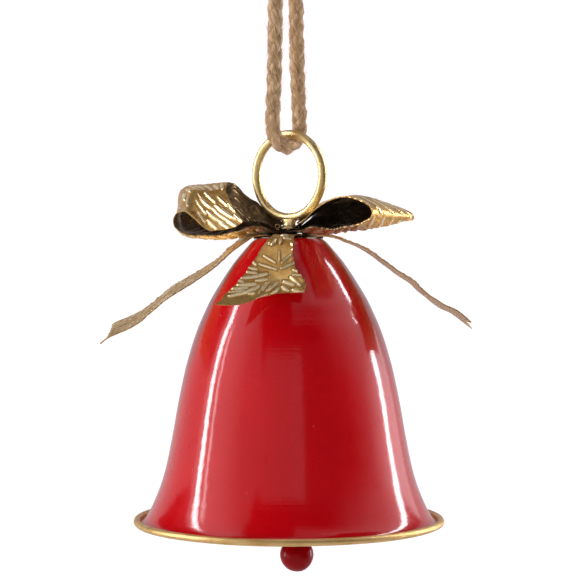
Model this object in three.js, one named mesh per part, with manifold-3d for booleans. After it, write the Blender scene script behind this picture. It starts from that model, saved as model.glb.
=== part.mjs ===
// Hanging bell ornament: a spun, enamelled steel bell with a rolled gilt lip, an embossed
// metal bow on its crown, a wire hanging ring, a jute loop and a clapper on a link.
// Millimetres, +Z up. Shapes are laid out from the lip plane (Z 0 at the lip) and the
// outer group moves them so that the origin is at the knot the ornament hangs from.
import * as THREE from 'three';
import { mergeVertices } from 'three/addons/utils/BufferGeometryUtils.js';
import Module from 'manifold-3d';

const wasm = await Module();
wasm.setup();

// ---------------------------------------------------------------- driving dimensions
const HANG_Z = 204.0;          // height of the knot's centre above the lip plane
const HANG_X = -1.2;           // the knot stands this far to the side of the bell's axis

const SHELL_T = 0.6;           // sheet thickness of the bell
const SHELL_SEGMENTS = 52;
const CROWN_Z = 101.5;         // outer face of the flat crown
const CROWN_HOLE_R = 1.6;      // hole for the eye bolt
// outer profile of the bell, radius against height above the lip
const SHELL_PROFILE = [
  [11.0, 101.5], [13.0, 100.5], [16.3, 96.7], [20.0, 92.2], [24.1, 85.9],
  [28.6, 77.8], [33.0, 67.9], [36.0, 58.2], [38.8, 46.0], [41.2, 32.6],
  [43.8, 19.9], [46.3, 11.6], [49.3, 5.0], [51.0, 2.0], [52.4, 1.0],
];
const RIM_R = 54.0;            // centreline radius of the rolled lip bead
const RIM_WIRE_R = 1.2;        // radius of the bead's section
const RIM_Z = 1.1;             // height of the bead's centre

const SHEET_T = 0.4;           // thickness of the bow metal
const BOLT_R = 1.2;            // shank of the eye bolt
const BOW_HOLE_R = 1.6;        // holes in the bow strips
const SIDE_TAILS_Z = 102.0;    // mid-thickness heights of the four stacked strips
const FRONT_TAILS_Z = 102.7;
const LEFT_LOOP_Z = 103.4;
const RIGHT_LOOP_Z = 104.1;

const RING_R = 14.75;          // centreline radius of the hanging ring
const RING_WIRE_R = 1.45;
const RING_Z = 123.5;
const RING_YAW = -37.5 * Math.PI / 180;   // the ring's plane, turned about Z
const NECK_R = 2.7;            // solder neck under the ring
const NECK_Z0 = 104.6;
const NECK_Z1 = 108.9;

const CORD_D = 5.3;            // jute diameter
const CORD_LOW_X = -1.0;       // middle of the loop at the ring
const CORD_HALF = 7.8;         // half the distance between the strands at the ring
const CORD_LOW_Z = 133.7;      // centreline height at the bottom of the bight
const KNOT_R = 6.6;

const EYE_X = 2.8;             // the clapper hangs from here
const EYE_R = 2.8;             // centreline radius of the bolt's eye
const EYE_Z = 93.0;
const LINK_R = 2.3;            // half width of the link, centreline
const LINK_WIRE_R = 0.8;
const LINK_TOP_Z = EYE_Z - EYE_R;   // upper pivot
const LINK_LOW_Z = 85.2;       // lower pivot
const ROD_EYE_R = 3.0;
const ROD_WIRE_R = 0.8;
const BALL_R = 6.0;
const BALL_Z = -11.4;

// ---------------------------------------------------------------- materials
const enamel = new THREE.MeshStandardMaterial({ color: 0xa8061a, roughness: 0.18, metalness: 0.1 });
const ballEnamel = new THREE.MeshStandardMaterial({ color: 0x8c0410, roughness: 0.2, metalness: 0.1 });
const rimGold = new THREE.MeshStandardMaterial({ color: 0xc9a050, roughness: 0.35, metalness: 0.9 });
const ringGold = new THREE.MeshStandardMaterial({ color: 0xd9bc78, roughness: 0.32, metalness: 0.9 });
const bowGold = new THREE.MeshStandardMaterial({ color: 0xb8944e, roughness: 0.3, metalness: 0.95 });
const jute = new THREE.MeshStandardMaterial({ color: 0xa98662, roughness: 0.95, metalness: 0.0 });
const steel = new THREE.MeshStandardMaterial({ color: 0x9a9a9c, roughness: 0.4, metalness: 0.9 });

// ---------------------------------------------------------------- helpers
function toManifold(geometry) {
  const g = outward(geometry.clone());
  g.deleteAttribute('normal');
  g.deleteAttribute('uv');
  const m = mergeVertices(g, 1e-4);
  return new wasm.Manifold(new wasm.Mesh({
    numProp: 3,
    vertProperties: new Float32Array(m.attributes.position.array),
    triVerts: new Uint32Array(m.index.array),
  }));
}

function fromManifold(solid) {
  const mesh = solid.getMesh();
  const g = new THREE.BufferGeometry();
  g.setAttribute('position', new THREE.BufferAttribute(new Float32Array(mesh.vertProperties), 3));
  g.setIndex(new THREE.BufferAttribute(new Uint32Array(mesh.triVerts), 1));
  g.computeVertexNormals();
  return g;
}

// an upright round pin from z0 to z1
function pin(r, z0, z1, x = 0, y = 0, sides = 20) {
  const g = new THREE.CylinderGeometry(r, r, z1 - z0, sides);
  g.rotateX(Math.PI / 2);
  g.translate(x, y, (z0 + z1) / 2);
  return toManifold(g);
}

// catmull-rom through the rows of a grid, `extra` new rows between each pair
function refine(rows, extra) {
  const out = [];
  for (let i = 0; i < rows.length - 1; i++) {
    const a = rows[Math.max(i - 1, 0)], b = rows[i], c = rows[i + 1];
    const d = rows[Math.min(i + 2, rows.length - 1)];
    out.push(b);
    for (let k = 1; k <= extra; k++) {
      const t = k / (extra + 1), t2 = t * t, t3 = t2 * t;
      out.push(b.map((_, j) => new THREE.Vector3()
        .addScaledVector(a[j], -0.5 * t3 + t2 - 0.5 * t)
        .addScaledVector(b[j], 1.5 * t3 - 2.5 * t2 + 1)
        .addScaledVector(c[j], -1.5 * t3 + 2 * t2 + 0.5 * t)
        .addScaledVector(d[j], 0.5 * t3 - 0.5 * t2)));
    }
  }
  out.push(rows[rows.length - 1]);
  return out;
}

// a thin sheet of thickness t through a grid of points
function sheet(rows, t) {
  const n = rows.length, m = rows[0].length;
  const top = [], bottom = [];
  for (let i = 0; i < n; i++) {
    for (let j = 0; j < m; j++) {
      const du = new THREE.Vector3().subVectors(rows[Math.min(i + 1, n - 1)][j], rows[Math.max(i - 1, 0)][j]);
      const dv = new THREE.Vector3().subVectors(rows[i][Math.min(j + 1, m - 1)], rows[i][Math.max(j - 1, 0)]);
      const nn = du.cross(dv).normalize();
      top.push(rows[i][j].clone().addScaledVector(nn, t / 2));
      bottom.push(rows[i][j].clone().addScaledVector(nn, -t / 2));
    }
  }
  const pos = [];
  for (const v of top) pos.push(v.x, v.y, v.z);
  for (const v of bottom) pos.push(v.x, v.y, v.z);
  const idx = [], off = n * m;
  const at = (i, j) => i * m + j;
  for (let i = 0; i < n - 1; i++) {
    for (let j = 0; j < m - 1; j++) {
      const a = at(i, j), b = at(i + 1, j), c = at(i + 1, j + 1), d = at(i, j + 1);
      idx.push(a, b, c, a, c, d);
      idx.push(off + a, off + c, off + b, off + a, off + d, off + c);
    }
  }
  const loop = [];
  for (let i = 0; i < n - 1; i++) loop.push([at(i, 0), at(i + 1, 0)]);
  for (let j = 0; j < m - 1; j++) loop.push([at(n - 1, j), at(n - 1, j + 1)]);
  for (let i = n - 1; i > 0; i--) loop.push([at(i, m - 1), at(i - 1, m - 1)]);
  for (let j = m - 1; j > 0; j--) loop.push([at(0, j), at(0, j - 1)]);
  for (const [a, b] of loop) idx.push(b, a, off + a, b, off + a, off + b);
  const g = new THREE.BufferGeometry();
  g.setAttribute('position', new THREE.BufferAttribute(new Float32Array(pos), 3));
  g.setIndex(idx);
  return g;
}

// the strip's grid from rows of [x, y, z] points, with the bolt hole cut through it
function strip(rows, extra) {
  const grid = refine(rows.map((r) => r.map((p) => new THREE.Vector3(...p))), extra);
  const solid = toManifold(sheet(grid, SHEET_T));
  return fromManifold(solid.subtract(pin(BOW_HOLE_R, 95, 104.6)));
}

// a lathe ring from a closed section
function ringOf(section, segments) {
  const pts = section.map(([r, z]) => new THREE.Vector2(r, z));
  pts.push(pts[0].clone());
  const g = new THREE.LatheGeometry(pts, segments);
  g.rotateX(Math.PI / 2);
  return g;
}

// a round wire through points
function wire(points, r, sides, steps, closed = false) {
  const shape = new THREE.Shape();
  for (let k = 0; k < sides; k++) {
    const a = (k + 0.5) / sides * 2 * Math.PI;
    if (k === 0) shape.moveTo(r * Math.cos(a), r * Math.sin(a));
    else shape.lineTo(r * Math.cos(a), r * Math.sin(a));
  }
  shape.closePath();
  const path = new THREE.CatmullRomCurve3(points.map((p) => new THREE.Vector3(...p)), closed, 'centripetal');
  return new THREE.ExtrudeGeometry(shape, { steps, extrudePath: path, bevelEnabled: false });
}

// the same surface with its faces turned to point out of the solid
function outward(g) {
  const p = g.attributes.position, ix = g.index ? g.index.array : [...Array(p.count).keys()];
  const a = new THREE.Vector3(), b = new THREE.Vector3(), c = new THREE.Vector3();
  let volume = 0;
  for (let i = 0; i < ix.length; i += 3) {
    a.fromBufferAttribute(p, ix[i]);
    b.fromBufferAttribute(p, ix[i + 1]);
    c.fromBufferAttribute(p, ix[i + 2]);
    volume += a.dot(b.cross(c));
  }
  if (volume > 0) return g;
  const flipped = [];
  for (let i = 0; i < ix.length; i += 3) flipped.push(ix[i], ix[i + 2], ix[i + 1]);
  g.setIndex(flipped);
  return g;
}

const pieces = [];
function add(name, geometry, material) {
  outward(geometry);
  if (!geometry.attributes.normal) geometry.computeVertexNormals();
  const mesh = new THREE.Mesh(geometry, material);
  mesh.name = name;
  pieces.push(mesh);
  return mesh;
}

// ---------------------------------------------------------------- bell shell and lip bead
{
  const outer = SHELL_PROFILE;
  const inner = [];
  for (let i = 0; i < outer.length; i++) {
    const a = outer[Math.max(i - 1, 0)], b = outer[Math.min(i + 1, outer.length - 1)];
    let nr = -(b[1] - a[1]), nz = b[0] - a[0];       // points out of the bell
    const l = Math.hypot(nr, nz);
    nr /= l; nz /= l;
    inner.push([outer[i][0] - nr * SHELL_T, outer[i][1] - nz * SHELL_T]);
  }
  inner[0] = [10.8, CROWN_Z - SHELL_T];
  const section = [[CROWN_HOLE_R, CROWN_Z], ...outer, ...inner.reverse(), [CROWN_HOLE_R, CROWN_Z - SHELL_T]];
  add('bell_shell', ringOf(section, SHELL_SEGMENTS), enamel);

  const bead = [];
  for (let k = 0; k < 10; k++) {
    const a = -k / 10 * 2 * Math.PI;
    bead.push([RIM_R + RIM_WIRE_R * Math.cos(a), RIM_Z + RIM_WIRE_R * Math.sin(a)]);
  }
  add('rim_bead', ringOf(bead, SHELL_SEGMENTS), rimGold);
}

// ---------------------------------------------------------------- bow
const TURN = 35 * Math.PI / 180;
const dirX = Math.cos(TURN), dirY = -Math.sin(TURN);
// along the right loop, across it (positive to the back) and up
const bow = (u, h, z) => [dirX * u - dirY * h, dirY * u + dirX * h, z];

{
  const rows = [
    [[4.2, -4.5, 105.2], [3.8, -1.5, 105.1], [2.6, 3.4, 105.7], [-1.0, 6.0, 106.8]],
    [[8, -6.5, 105.9], [7.6, -2.0, 107.0], [6.8, 3.6, 109.4], [5.5, 8.6, 112.8]],
    [[13, -9, 107.8], [12.4, -3.0, 109.8], [11.4, 4.6, 112.2], [10, 11.0, 115.2]],
    [[17.4, -10.5, 110.8], [17.2, -3.5, 112.6], [16.6, 4.6, 114.2], [15.5, 12.2, 116.1]],
    [[24.8, -12.5, 114.2], [24.4, -4.5, 115.2], [23.4, 4.6, 115.9], [21.5, 12.8, 116.4]],
    [[33.2, -13.5, 115.6], [32.9, -5.0, 115.9], [32.0, 4.6, 115.3], [30.6, 12.8, 114.0]],
    [[39.6, -13.5, 113.9], [39.4, -5.0, 113.6], [39.0, 5.0, 112.8], [38.5, 13.2, 111.9]],
    [[42.8, -13.4, 111.5], [43.1, -5.0, 110.9], [43.3, 5.0, 110.2], [43.4, 13.4, 109.6]],
    [[42.6, -13.3, 109.0], [42.9, -5.0, 108.4], [43.0, 5.0, 108.2], [43.0, 13.8, 107.9]],
    [[40, -13.2, 107.5], [40.2, -5.0, 106.0], [40.2, 5.0, 106.4], [40.2, 14.4, 108.6]],
    [[36, -13, 106.2], [36, -5.0, 104.9], [35.8, 5.4, 106.4], [35.5, 15.0, 112.6]],
    [[31, -12.8, 105.6], [30.9, -5.0, 104.4], [30.8, 5.4, 107.0], [30.6, 15.2, 114.6]],
    [[26, -12, 104.9], [25.4, -4.5, 103.8], [24.8, 5.0, 107.8], [23.6, 15.0, 116.4]],
    [[19, -10, 105.6], [18.4, -3.4, 102.9], [17.6, 4.8, 107.6], [16.2, 14.2, 116.2]],
    [[15, -8.8, 106.0], [14.6, -2.8, 102.9], [14.2, 4.4, 107.2], [13.0, 13.4, 115.6]],
    [[12, -7.5, 105.3], [11.6, -2.4, 103.1], [11.2, 4.0, 106.9], [10.0, 12.4, 115.2]],
    [[8.4, -6.0, 104.4], [8.2, -1.8, 103.6], [7.8, 3.4, 106.2], [6.6, 10.6, 113.4]],
    [[5, -4.6, RIGHT_LOOP_Z], [5, -1.5, RIGHT_LOOP_Z], [5, 1.8, 104.3], [4.2, 7.6, 108.6]],
    [[0, -4.0, RIGHT_LOOP_Z], [0, -1.3, RIGHT_LOOP_Z], [0, 1.3, RIGHT_LOOP_Z], [0, 4.0, RIGHT_LOOP_Z]],
    [[-3.4, -3.4, RIGHT_LOOP_Z], [-3.4, -1.1, RIGHT_LOOP_Z], [-3.4, 1.1, RIGHT_LOOP_Z], [-3.4, 3.4, RIGHT_LOOP_Z]],
  ].map((r) => r.map(([u, h, z]) => bow(u, h, z)));
  add('bow_loop_right', strip(rows, 1), bowGold);
}

{
  // from the near edge to the far edge of each row; the third point lies on the crease along the top
  const rows = [
    [[-5.0, -4.6, 104.9], [-4.3, -2.0, 105.0], [-3.3, 1.6, 105.7], [-1.4, 4.2, 106.8]],
    [[-7.4, -4.6, 106.3], [-6.8, -1.6, 106.5], [-6.2, 2.4, 107.5], [-5.6, 6.8, 109.5]],
    [[-10.2, -4.6, 107.3], [-9.6, -1.2, 107.8], [-8.9, 3.2, 109.3], [-8.2, 8.8, 111.7]],
    [[-12.9, -4.4, 107.3], [-12.6, -0.9, 108.9], [-12.2, 2.8, 111.2], [-11.6, 6.4, 114.0]],
    [[-14.2, -4.2, 106.6], [-15.0, -0.6, 109.6], [-15.5, 3.2, 113.2], [-15.8, 7.0, 117.3]],
    [[-15.2, -4.4, 106.8], [-17.2, -0.2, 110.6], [-18.7, 5.0, 115.8], [-19.7, 9.6, 121.4]],
    [[-15.8, -4.8, 106.9], [-20.2, 1.6, 111.8], [-23.9, 10.4, 118.8], [-22.9, 16.4, 121.6]],
    [[-18.2, -4.8, 105.1], [-22.8, 1.6, 110.9], [-26.4, 11.0, 118.3], [-25.9, 20.4, 121.3]],
    [[-22.0, -3.6, 104.2], [-25.8, 2.4, 110.4], [-28.9, 11.8, 118.0], [-28.8, 22.4, 121.0]],
    [[-25.8, -2.4, 103.8], [-28.8, 3.4, 110.5], [-31.4, 13.0, 118.4], [-31.9, 24.2, 120.8]],
    [[-29.2, -1.2, 104.2], [-31.0, 4.2, 111.0], [-33.0, 13.8, 118.6], [-34.6, 25.4, 120.6]],
    [[-33.4, 0.0, 107.8], [-33.8, 5.4, 112.3], [-34.2, 14.0, 118.6], [-36.4, 26.6, 120.4]],
    [[-37.0, 0.8, 110.8], [-36.2, 6.6, 113.0], [-35.6, 14.8, 118.4], [-38.0, 27.0, 120.0]],
    [[-39.4, 2.0, 110.4], [-38.6, 9.2, 112.2], [-38.2, 17.6, 116.6], [-39.6, 27.8, 118.8]],
    [[-40.7, 3.2, 109.2], [-40.2, 11.0, 110.4], [-39.8, 19.2, 113.2], [-40.4, 28.6, 116.6]],
    [[-41.2, 4.0, 107.3], [-41.0, 11.8, 107.4], [-40.8, 20.0, 109.6], [-40.6, 29.2, 114.0]],
    [[-40.2, 4.0, 105.0], [-40.1, 11.4, 104.4], [-40.0, 19.6, 106.8], [-39.6, 29.2, 112.4]],
    [[-36.2, 2.5, 102.8], [-36.5, 10.0, 102.2], [-36.9, 18.5, 105.2], [-37.2, 28.0, 111.8]],
    [[-29.6, 0.0, 102.5], [-30.0, 7.5, 101.4], [-30.5, 15.4, 104.6], [-30.9, 25.0, 112.0]],
    [[-23.5, -2.0, 102.8], [-23.7, 4.6, 101.2], [-24.0, 12.0, 104.4], [-24.4, 21.0, 112.6]],
    [[-18.5, -3.8, 104.3], [-18.2, 1.2, 101.9], [-18.0, 7.6, 104.6], [-18.0, 15.6, 112.6]],
    [[-15.0, -5.0, 105.4], [-14.8, 0.0, 102.9], [-14.6, 5.8, 104.9], [-14.6, 12.0, 111.0]],
    [[-12.0, -5.4, 106.1], [-11.8, -0.8, 103.1], [-11.4, 4.8, 105.2], [-11.2, 9.8, 110.2]],
    [[-8.0, -5.2, 105.2], [-7.6, -1.0, LEFT_LOOP_Z], [-7.1, 3.4, 104.6], [-6.8, 7.6, 108.0]],
    [[-4.4, -4.6, 103.6], [-4.2, -1.4, LEFT_LOOP_Z], [-4.2, 1.9, LEFT_LOOP_Z], [-4.3, 5.2, 104.6]],
    [[0.0, -4.0, LEFT_LOOP_Z], [0.0, -1.3, LEFT_LOOP_Z], [0.0, 1.3, LEFT_LOOP_Z], [0.0, 4.0, LEFT_LOOP_Z]],
    [[3.4, -3.4, LEFT_LOOP_Z], [3.4, -1.1, LEFT_LOOP_Z], [3.4, 1.1, LEFT_LOOP_Z], [3.4, 3.4, LEFT_LOOP_Z]],
  ];
  add('bow_loop_left', strip(rows, 0), bowGold);
}

{
  // one strip lying across the crown, both of its ends reaching out and down
  const left = [
    [66.2, 66.4, 12.4], [62.7, 68.9, 12.6], [53.9, 72.8, 12.0], [48.9, 76.6, 11.4], [41.2, 82.8, 10.4],
    [35.8, 85.9, 9.6], [30.4, 89.3, 8.8], [25.0, 93.2, 7.8], [20.5, 97.4, 6.6], [14.7, 101.2, 5.0],
    [11.2, SIDE_TAILS_Z, 4.2], [5.0, SIDE_TAILS_Z, 4.0],
  ].map(([x, z, w]) => [[-x, -w, z - (x > 12 ? 0.16 * w : 0)], [x > 65 ? 6.6 - x : -x, 0, x > 65 ? z + 3.4 : z], [-x + (x > 65 ? 2.4 : 0), w, z + (x > 12 ? 0.16 * w : 0) + (x > 65 ? 0.8 : 0)]]);
  const right = [
    [5.0, SIDE_TAILS_Z, 4.0], [11.9, 102.0, 4.4], [16.5, 101.5, 5.4], [20.0, 100.2, 6.4], [25.6, 98.2, 7.8],
    [29.9, 95.4, 8.8], [36.4, 90.5, 9.8], [43.3, 85.9, 10.8], [47.3, 82.2, 11.4], [53.8, 77.5, 12.0],
    [58.9, 75.0, 12.6], [66.1, 69.4, 12.4],
  ].map(([x, z, w]) => [[x - (x > 65 ? 2.4 : 0), -w, z + (x > 12 ? 0.08 * w : 0) + (x > 65 ? 1.6 : 0)], [x > 65 ? x - 6.4 : x, 0, x > 65 ? z + 4.8 : z], [x, w, z - (x > 12 ? 0.08 * w : 0)]]);
  add('side_tails', strip([...left, [[0, -4, SIDE_TAILS_Z], [0, 0, SIDE_TAILS_Z], [0, 4, SIDE_TAILS_Z]], ...right], 0), bowGold);
}

{
  // the short strip: its flared, notched ends lie over the front and the back shoulder
  const front = [
    [[-25.0, -31.8, 79.9], [-16.8, -31.2, 79.9], [-8.9, -29.9, 82.5], [-2.8, -29.6, 84.0], [5.8, -29.6, 84.4]],
    [[-21.3, -29.6, 84.0], [-14.2, -29.0, 84.2], [-7.4, -28.2, 85.3], [-1.2, -28.0, 86.4], [5.9, -27.9, 86.6]],
    [[-15.5, -24.6, 89.8], [-10.8, -24.4, 90.0], [-6.2, -24.3, 90.2], [-1.5, -24.3, 90.3], [3.4, -24.4, 90.2]],
    [[-11.9, -20.0, 94.7], [-8.5, -19.9, 94.9], [-5.1, -19.8, 95.1], [-1.8, -19.8, 95.2], [1.7, -19.8, 95.2]],
    [[-8.9, -14.8, 99.3], [-6.2, -14.8, 99.6], [-3.6, -14.8, 99.9], [-0.9, -14.8, 99.9], [1.9, -14.8, 99.7]],
    [[-6.0, -9.4, 102.3], [-4.0, -9.4, 102.4], [-1.9, -9.4, 102.5], [0.2, -9.4, 102.5], [2.3, -9.4, 102.4]],
    [[-4.0, -4.5, FRONT_TAILS_Z], [-2.0, -4.5, FRONT_TAILS_Z], [0, -4.5, FRONT_TAILS_Z], [2.0, -4.5, FRONT_TAILS_Z], [4.0, -4.5, FRONT_TAILS_Z]],
  ];
  const middle = [[-4, 0, FRONT_TAILS_Z], [-2, 0, FRONT_TAILS_Z], [0, 0, FRONT_TAILS_Z], [2, 0, FRONT_TAILS_Z], [4, 0, FRONT_TAILS_Z]];
  const back = front.map((r) => r.map(([x, y, z]) => [-x, -y, z]).reverse()).reverse();
  add('front_back_tails', strip([...front, middle, ...back], 1), bowGold);
}

// ---------------------------------------------------------------- hanging ring
{
  const sides = 36;
  const torus = new THREE.TorusGeometry(RING_R, RING_WIRE_R, 12, sides);
  torus.rotateX(Math.PI / 2);            // stands in the XZ plane
  torus.rotateZ(RING_YAW);
  torus.translate(0, 0, RING_Z);
  const neck = new THREE.CylinderGeometry(1.9, NECK_R, NECK_Z1 - NECK_Z0, 24);
  neck.rotateX(Math.PI / 2);
  neck.translate(0, 0, (NECK_Z0 + NECK_Z1) / 2);
  const solid = toManifold(torus).add(toManifold(neck)).subtract(pin(BOW_HOLE_R, NECK_Z0 - 1, NECK_Z0 + 1.6));
  add('hanging_ring', fromManifold(solid), ringGold);
}

// ---------------------------------------------------------------- jute loop and its knot
{
  // the loop lies in the plane of Z and the direction the ring faces
  const nx = Math.sin(RING_YAW), ny = -Math.cos(RING_YAW);
  const at = (a, z) => [HANG_X + (CORD_LOW_X - HANG_X) * Math.min(1, (HANG_Z - z) / 60) + nx * a, ny * a, z];
  const side = [[2.88, 197.82], [3.55, 196.2], [4.35, 193.9], [5.15, 190.8], [5.8, 187.0], [6.25, 182.0], [6.6, 175.5], [6.9, 168.5], [7.2, 161.0], [7.5, 153.5], [7.72, 147.0]];
  const bight = [];
  for (let k = 0; k <= 8; k++) {
    const a = k / 8 * Math.PI;
    bight.push([CORD_HALF * Math.cos(a), CORD_LOW_Z + CORD_HALF - CORD_HALF * Math.sin(a)]);
  }
  const line = [...side, ...bight, ...side.map(([a, z]) => [-a, z]).reverse()];
  add('jute_loop', wire(line.map(([a, z]) => at(a, z)), CORD_D / 2, 8, 56), jute);

  // an overhand knot drawn up tight, as a rounded lump with the two short ends on top
  const lump = new THREE.SphereGeometry(KNOT_R, 16, 12);
  const ends = new THREE.CylinderGeometry(2.2, 3.6, 9, 12);
  ends.rotateX(Math.PI / 2);
  ends.translate(0, 0, 8.6);
  const solid = toManifold(lump).add(toManifold(ends));
  const g = fromManifold(solid);
  g.translate(HANG_X, 0, HANG_Z);
  add('loop_knot', g, jute);
}

// ---------------------------------------------------------------- fastener through the crown
{
  // shank from inside the neck down through the crown, then a bent eye on its lower end
  const shank = [[0, 0, NECK_Z0 + 1.3], [0, 0, 100], [0, 0, 96.2], [0, 0, EYE_Z]];
  const eye = [];
  for (let k = 1; k <= 15; k++) {
    const a = Math.PI + k / 16 * 2 * Math.PI;
    eye.push([EYE_X + EYE_R * Math.cos(a), 0, EYE_Z + EYE_R * Math.sin(a)]);
  }
  eye.pop();
  add('eye_bolt', wire([...shank, ...eye], BOLT_R, 8, 40), steel);

  const washer = (r, z0, z1) => toManifold(new THREE.CylinderGeometry(r, r, z1 - z0, 24).rotateX(Math.PI / 2).translate(0, 0, (z0 + z1) / 2));
  add('inner_washer', fromManifold(washer(5.5, 99.8, 100.6).subtract(pin(BOW_HOLE_R, 99, 101.5))), steel);

  const nut = new THREE.CylinderGeometry(3.0, 3.0, 1.8, 6).rotateX(Math.PI / 2).translate(0, 0, 98.6);
  add('crown_nut', fromManifold(toManifold(nut).subtract(pin(BOW_HOLE_R, 97, 100.4))), steel);
}

// ---------------------------------------------------------------- clapper
{
  const link = [];
  for (let k = 0; k <= 8; k++) {
    const a = k / 8 * Math.PI;
    link.push([EYE_X, LINK_R * Math.cos(a), LINK_TOP_Z + LINK_R * Math.sin(a)]);
  }
  for (let k = 0; k <= 8; k++) {
    const a = Math.PI + k / 8 * Math.PI;
    link.push([EYE_X, LINK_R * Math.cos(a), LINK_LOW_Z + LINK_R * Math.sin(a)]);
  }
  // a closed stadium of wire: the section is swept along a smooth closed line
  const sides = 8, pos = [], idx = [];
  const n = link.length;
  for (let i = 0; i < n; i++) {
    const c = new THREE.Vector3(...link[i]);
    const top = link[i][2] >= LINK_TOP_Z - 1e-6;
    const centre = new THREE.Vector3(EYE_X, 0, top ? LINK_TOP_Z : LINK_LOW_Z);
    const out = c.clone().sub(centre).normalize();
    const ax = new THREE.Vector3(1, 0, 0);
    for (let k = 0; k < sides; k++) {
      const a = (k + 0.5) / sides * 2 * Math.PI;
      const v = c.clone().addScaledVector(out, LINK_WIRE_R * Math.cos(a)).addScaledVector(ax, LINK_WIRE_R * Math.sin(a));
      pos.push(v.x, v.y, v.z);
    }
  }
  for (let i = 0; i < n; i++) {
    const p = i * sides, q = ((i + 1) % n) * sides;
    for (let k = 0; k < sides; k++) {
      const k1 = (k + 1) % sides;
      idx.push(p + k, q + k1, q + k, p + k, p + k1, q + k1);
    }
  }
  const g = new THREE.BufferGeometry();
  g.setAttribute('position', new THREE.BufferAttribute(new Float32Array(pos), 3));
  g.setIndex(idx);
  add('clapper_link', g, steel);

  // the rod's eye hangs in the link, its tail runs straight down into the ball
  const eye = new THREE.TorusGeometry(ROD_EYE_R, ROD_WIRE_R, 8, 24);
  eye.rotateX(Math.PI / 2);
  eye.translate(EYE_X, 0, LINK_LOW_Z - ROD_EYE_R);
  const rodTop = LINK_LOW_Z - 2 * ROD_EYE_R;
  const rodLow = BALL_Z + 1.5;
  const rod = toManifold(eye).add(pin(ROD_WIRE_R, rodLow, rodTop, EYE_X, 0, 12));
  add('clapper_rod', fromManifold(rod), steel);

  const ball = new THREE.SphereGeometry(BALL_R, 22, 14);
  ball.rotateX(Math.PI / 2);
  ball.translate(EYE_X, 0, BALL_Z);
  add('clapper_ball', fromManifold(toManifold(ball).subtract(pin(ROD_WIRE_R + 0.3, rodLow - 0.3, BALL_Z + 10, EYE_X, 0, 12))), ballEnamel);
}

// ---------------------------------------------------------------- the ornament
const ornament = new THREE.Group();
ornament.position.set(-HANG_X, 0, -HANG_Z);
for (const p of pieces) ornament.add(p);
ornament.updateMatrixWorld(true);

export default ornament;
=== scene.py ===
import bpy
import math
import numpy as np
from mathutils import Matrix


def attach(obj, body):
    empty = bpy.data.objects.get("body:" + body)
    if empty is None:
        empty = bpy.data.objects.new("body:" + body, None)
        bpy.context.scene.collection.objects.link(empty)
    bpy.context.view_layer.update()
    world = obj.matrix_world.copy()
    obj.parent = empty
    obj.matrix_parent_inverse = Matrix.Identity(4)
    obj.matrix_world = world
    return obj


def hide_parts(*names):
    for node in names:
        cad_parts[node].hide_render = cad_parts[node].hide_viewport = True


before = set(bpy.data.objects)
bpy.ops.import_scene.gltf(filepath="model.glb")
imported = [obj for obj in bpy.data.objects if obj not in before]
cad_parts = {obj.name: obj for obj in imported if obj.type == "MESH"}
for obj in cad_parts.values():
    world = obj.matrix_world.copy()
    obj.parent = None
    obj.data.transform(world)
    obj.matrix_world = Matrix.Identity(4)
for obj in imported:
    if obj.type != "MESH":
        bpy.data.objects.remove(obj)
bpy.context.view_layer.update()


rng = np.random.default_rng(7)

# The ornament is laid out in millimetres from the bell's axis and lip plane, as the CAD is, and moved to the knot.
SHIFT = np.array([1.2, 0.0, -204.0])


def to_m(p):
    return (np.asarray(p, float) + SHIFT) / 1000.0


# ------------------------------------------------------------------ camera
SCALE = 0.3548            # millimetres a pixel at the bell's axis
DIST = 750.0
cam_data = bpy.data.cameras.new("camera")
cam_data.sensor_width = 36.0
cam_data.lens = DIST / SCALE * 36.0 / 576.0
cam_data.clip_start = 0.05
cam_data.clip_end = 50.0
cam = bpy.data.objects.new("camera", cam_data)
bpy.context.scene.collection.objects.link(cam)
cam.location = to_m([-0.355, -DIST, 107.86])
cam.rotation_euler = (math.radians(90.0 - 1.843), 0.0, 0.0)
bpy.context.scene.camera = cam
bpy.context.scene.view_settings.view_transform = "Standard"


# ------------------------------------------------------------------ mesh helpers
def mesh_object(name, verts_mm, faces, uv=None, smooth=True):
    """One mesh object from vertices in millimetres and faces of three or four corners."""
    me = bpy.data.meshes.new(name)
    v = to_m(verts_mm)
    me.vertices.add(len(v))
    me.vertices.foreach_set("co", v.astype(np.float32).ravel())
    sizes = [f.shape[1] for f in faces]
    loops = np.concatenate([f.ravel() for f in faces]).astype(np.int32)
    totals = np.concatenate([np.full(len(f), s, np.int32) for f, s in zip(faces, sizes)])
    starts = np.concatenate([[0], np.cumsum(totals)[:-1]]).astype(np.int32)
    me.loops.add(len(loops))
    me.loops.foreach_set("vertex_index", loops)
    me.polygons.add(len(totals))
    me.polygons.foreach_set("loop_start", starts)
    flags = [smooth] * len(faces) if isinstance(smooth, bool) else smooth
    me.polygons.foreach_set("use_smooth", np.concatenate([np.full(len(f), g, bool) for f, g in zip(faces, flags)]))
    me.update(calc_edges=True)
    if uv is not None:
        layer = me.uv_layers.new(name="UVMap")
        layer.data.foreach_set("uv", uv[loops].astype(np.float32).ravel())
    me.validate()
    o = bpy.data.objects.new(name, me)
    bpy.context.scene.collection.objects.link(o)
    return o


def grid_faces(n, m, wrap_rows=False, wrap_cols=False, base=0):
    i = np.arange(n if wrap_rows else n - 1)
    j = np.arange(m if wrap_cols else m - 1)
    i, j = np.meshgrid(i, j, indexing="ij")
    i1, j1 = (i + 1) % n, (j + 1) % m
    return base + np.stack([i * m + j, i1 * m + j, i1 * m + j1, i * m + j1], -1).reshape(-1, 4)


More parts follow.
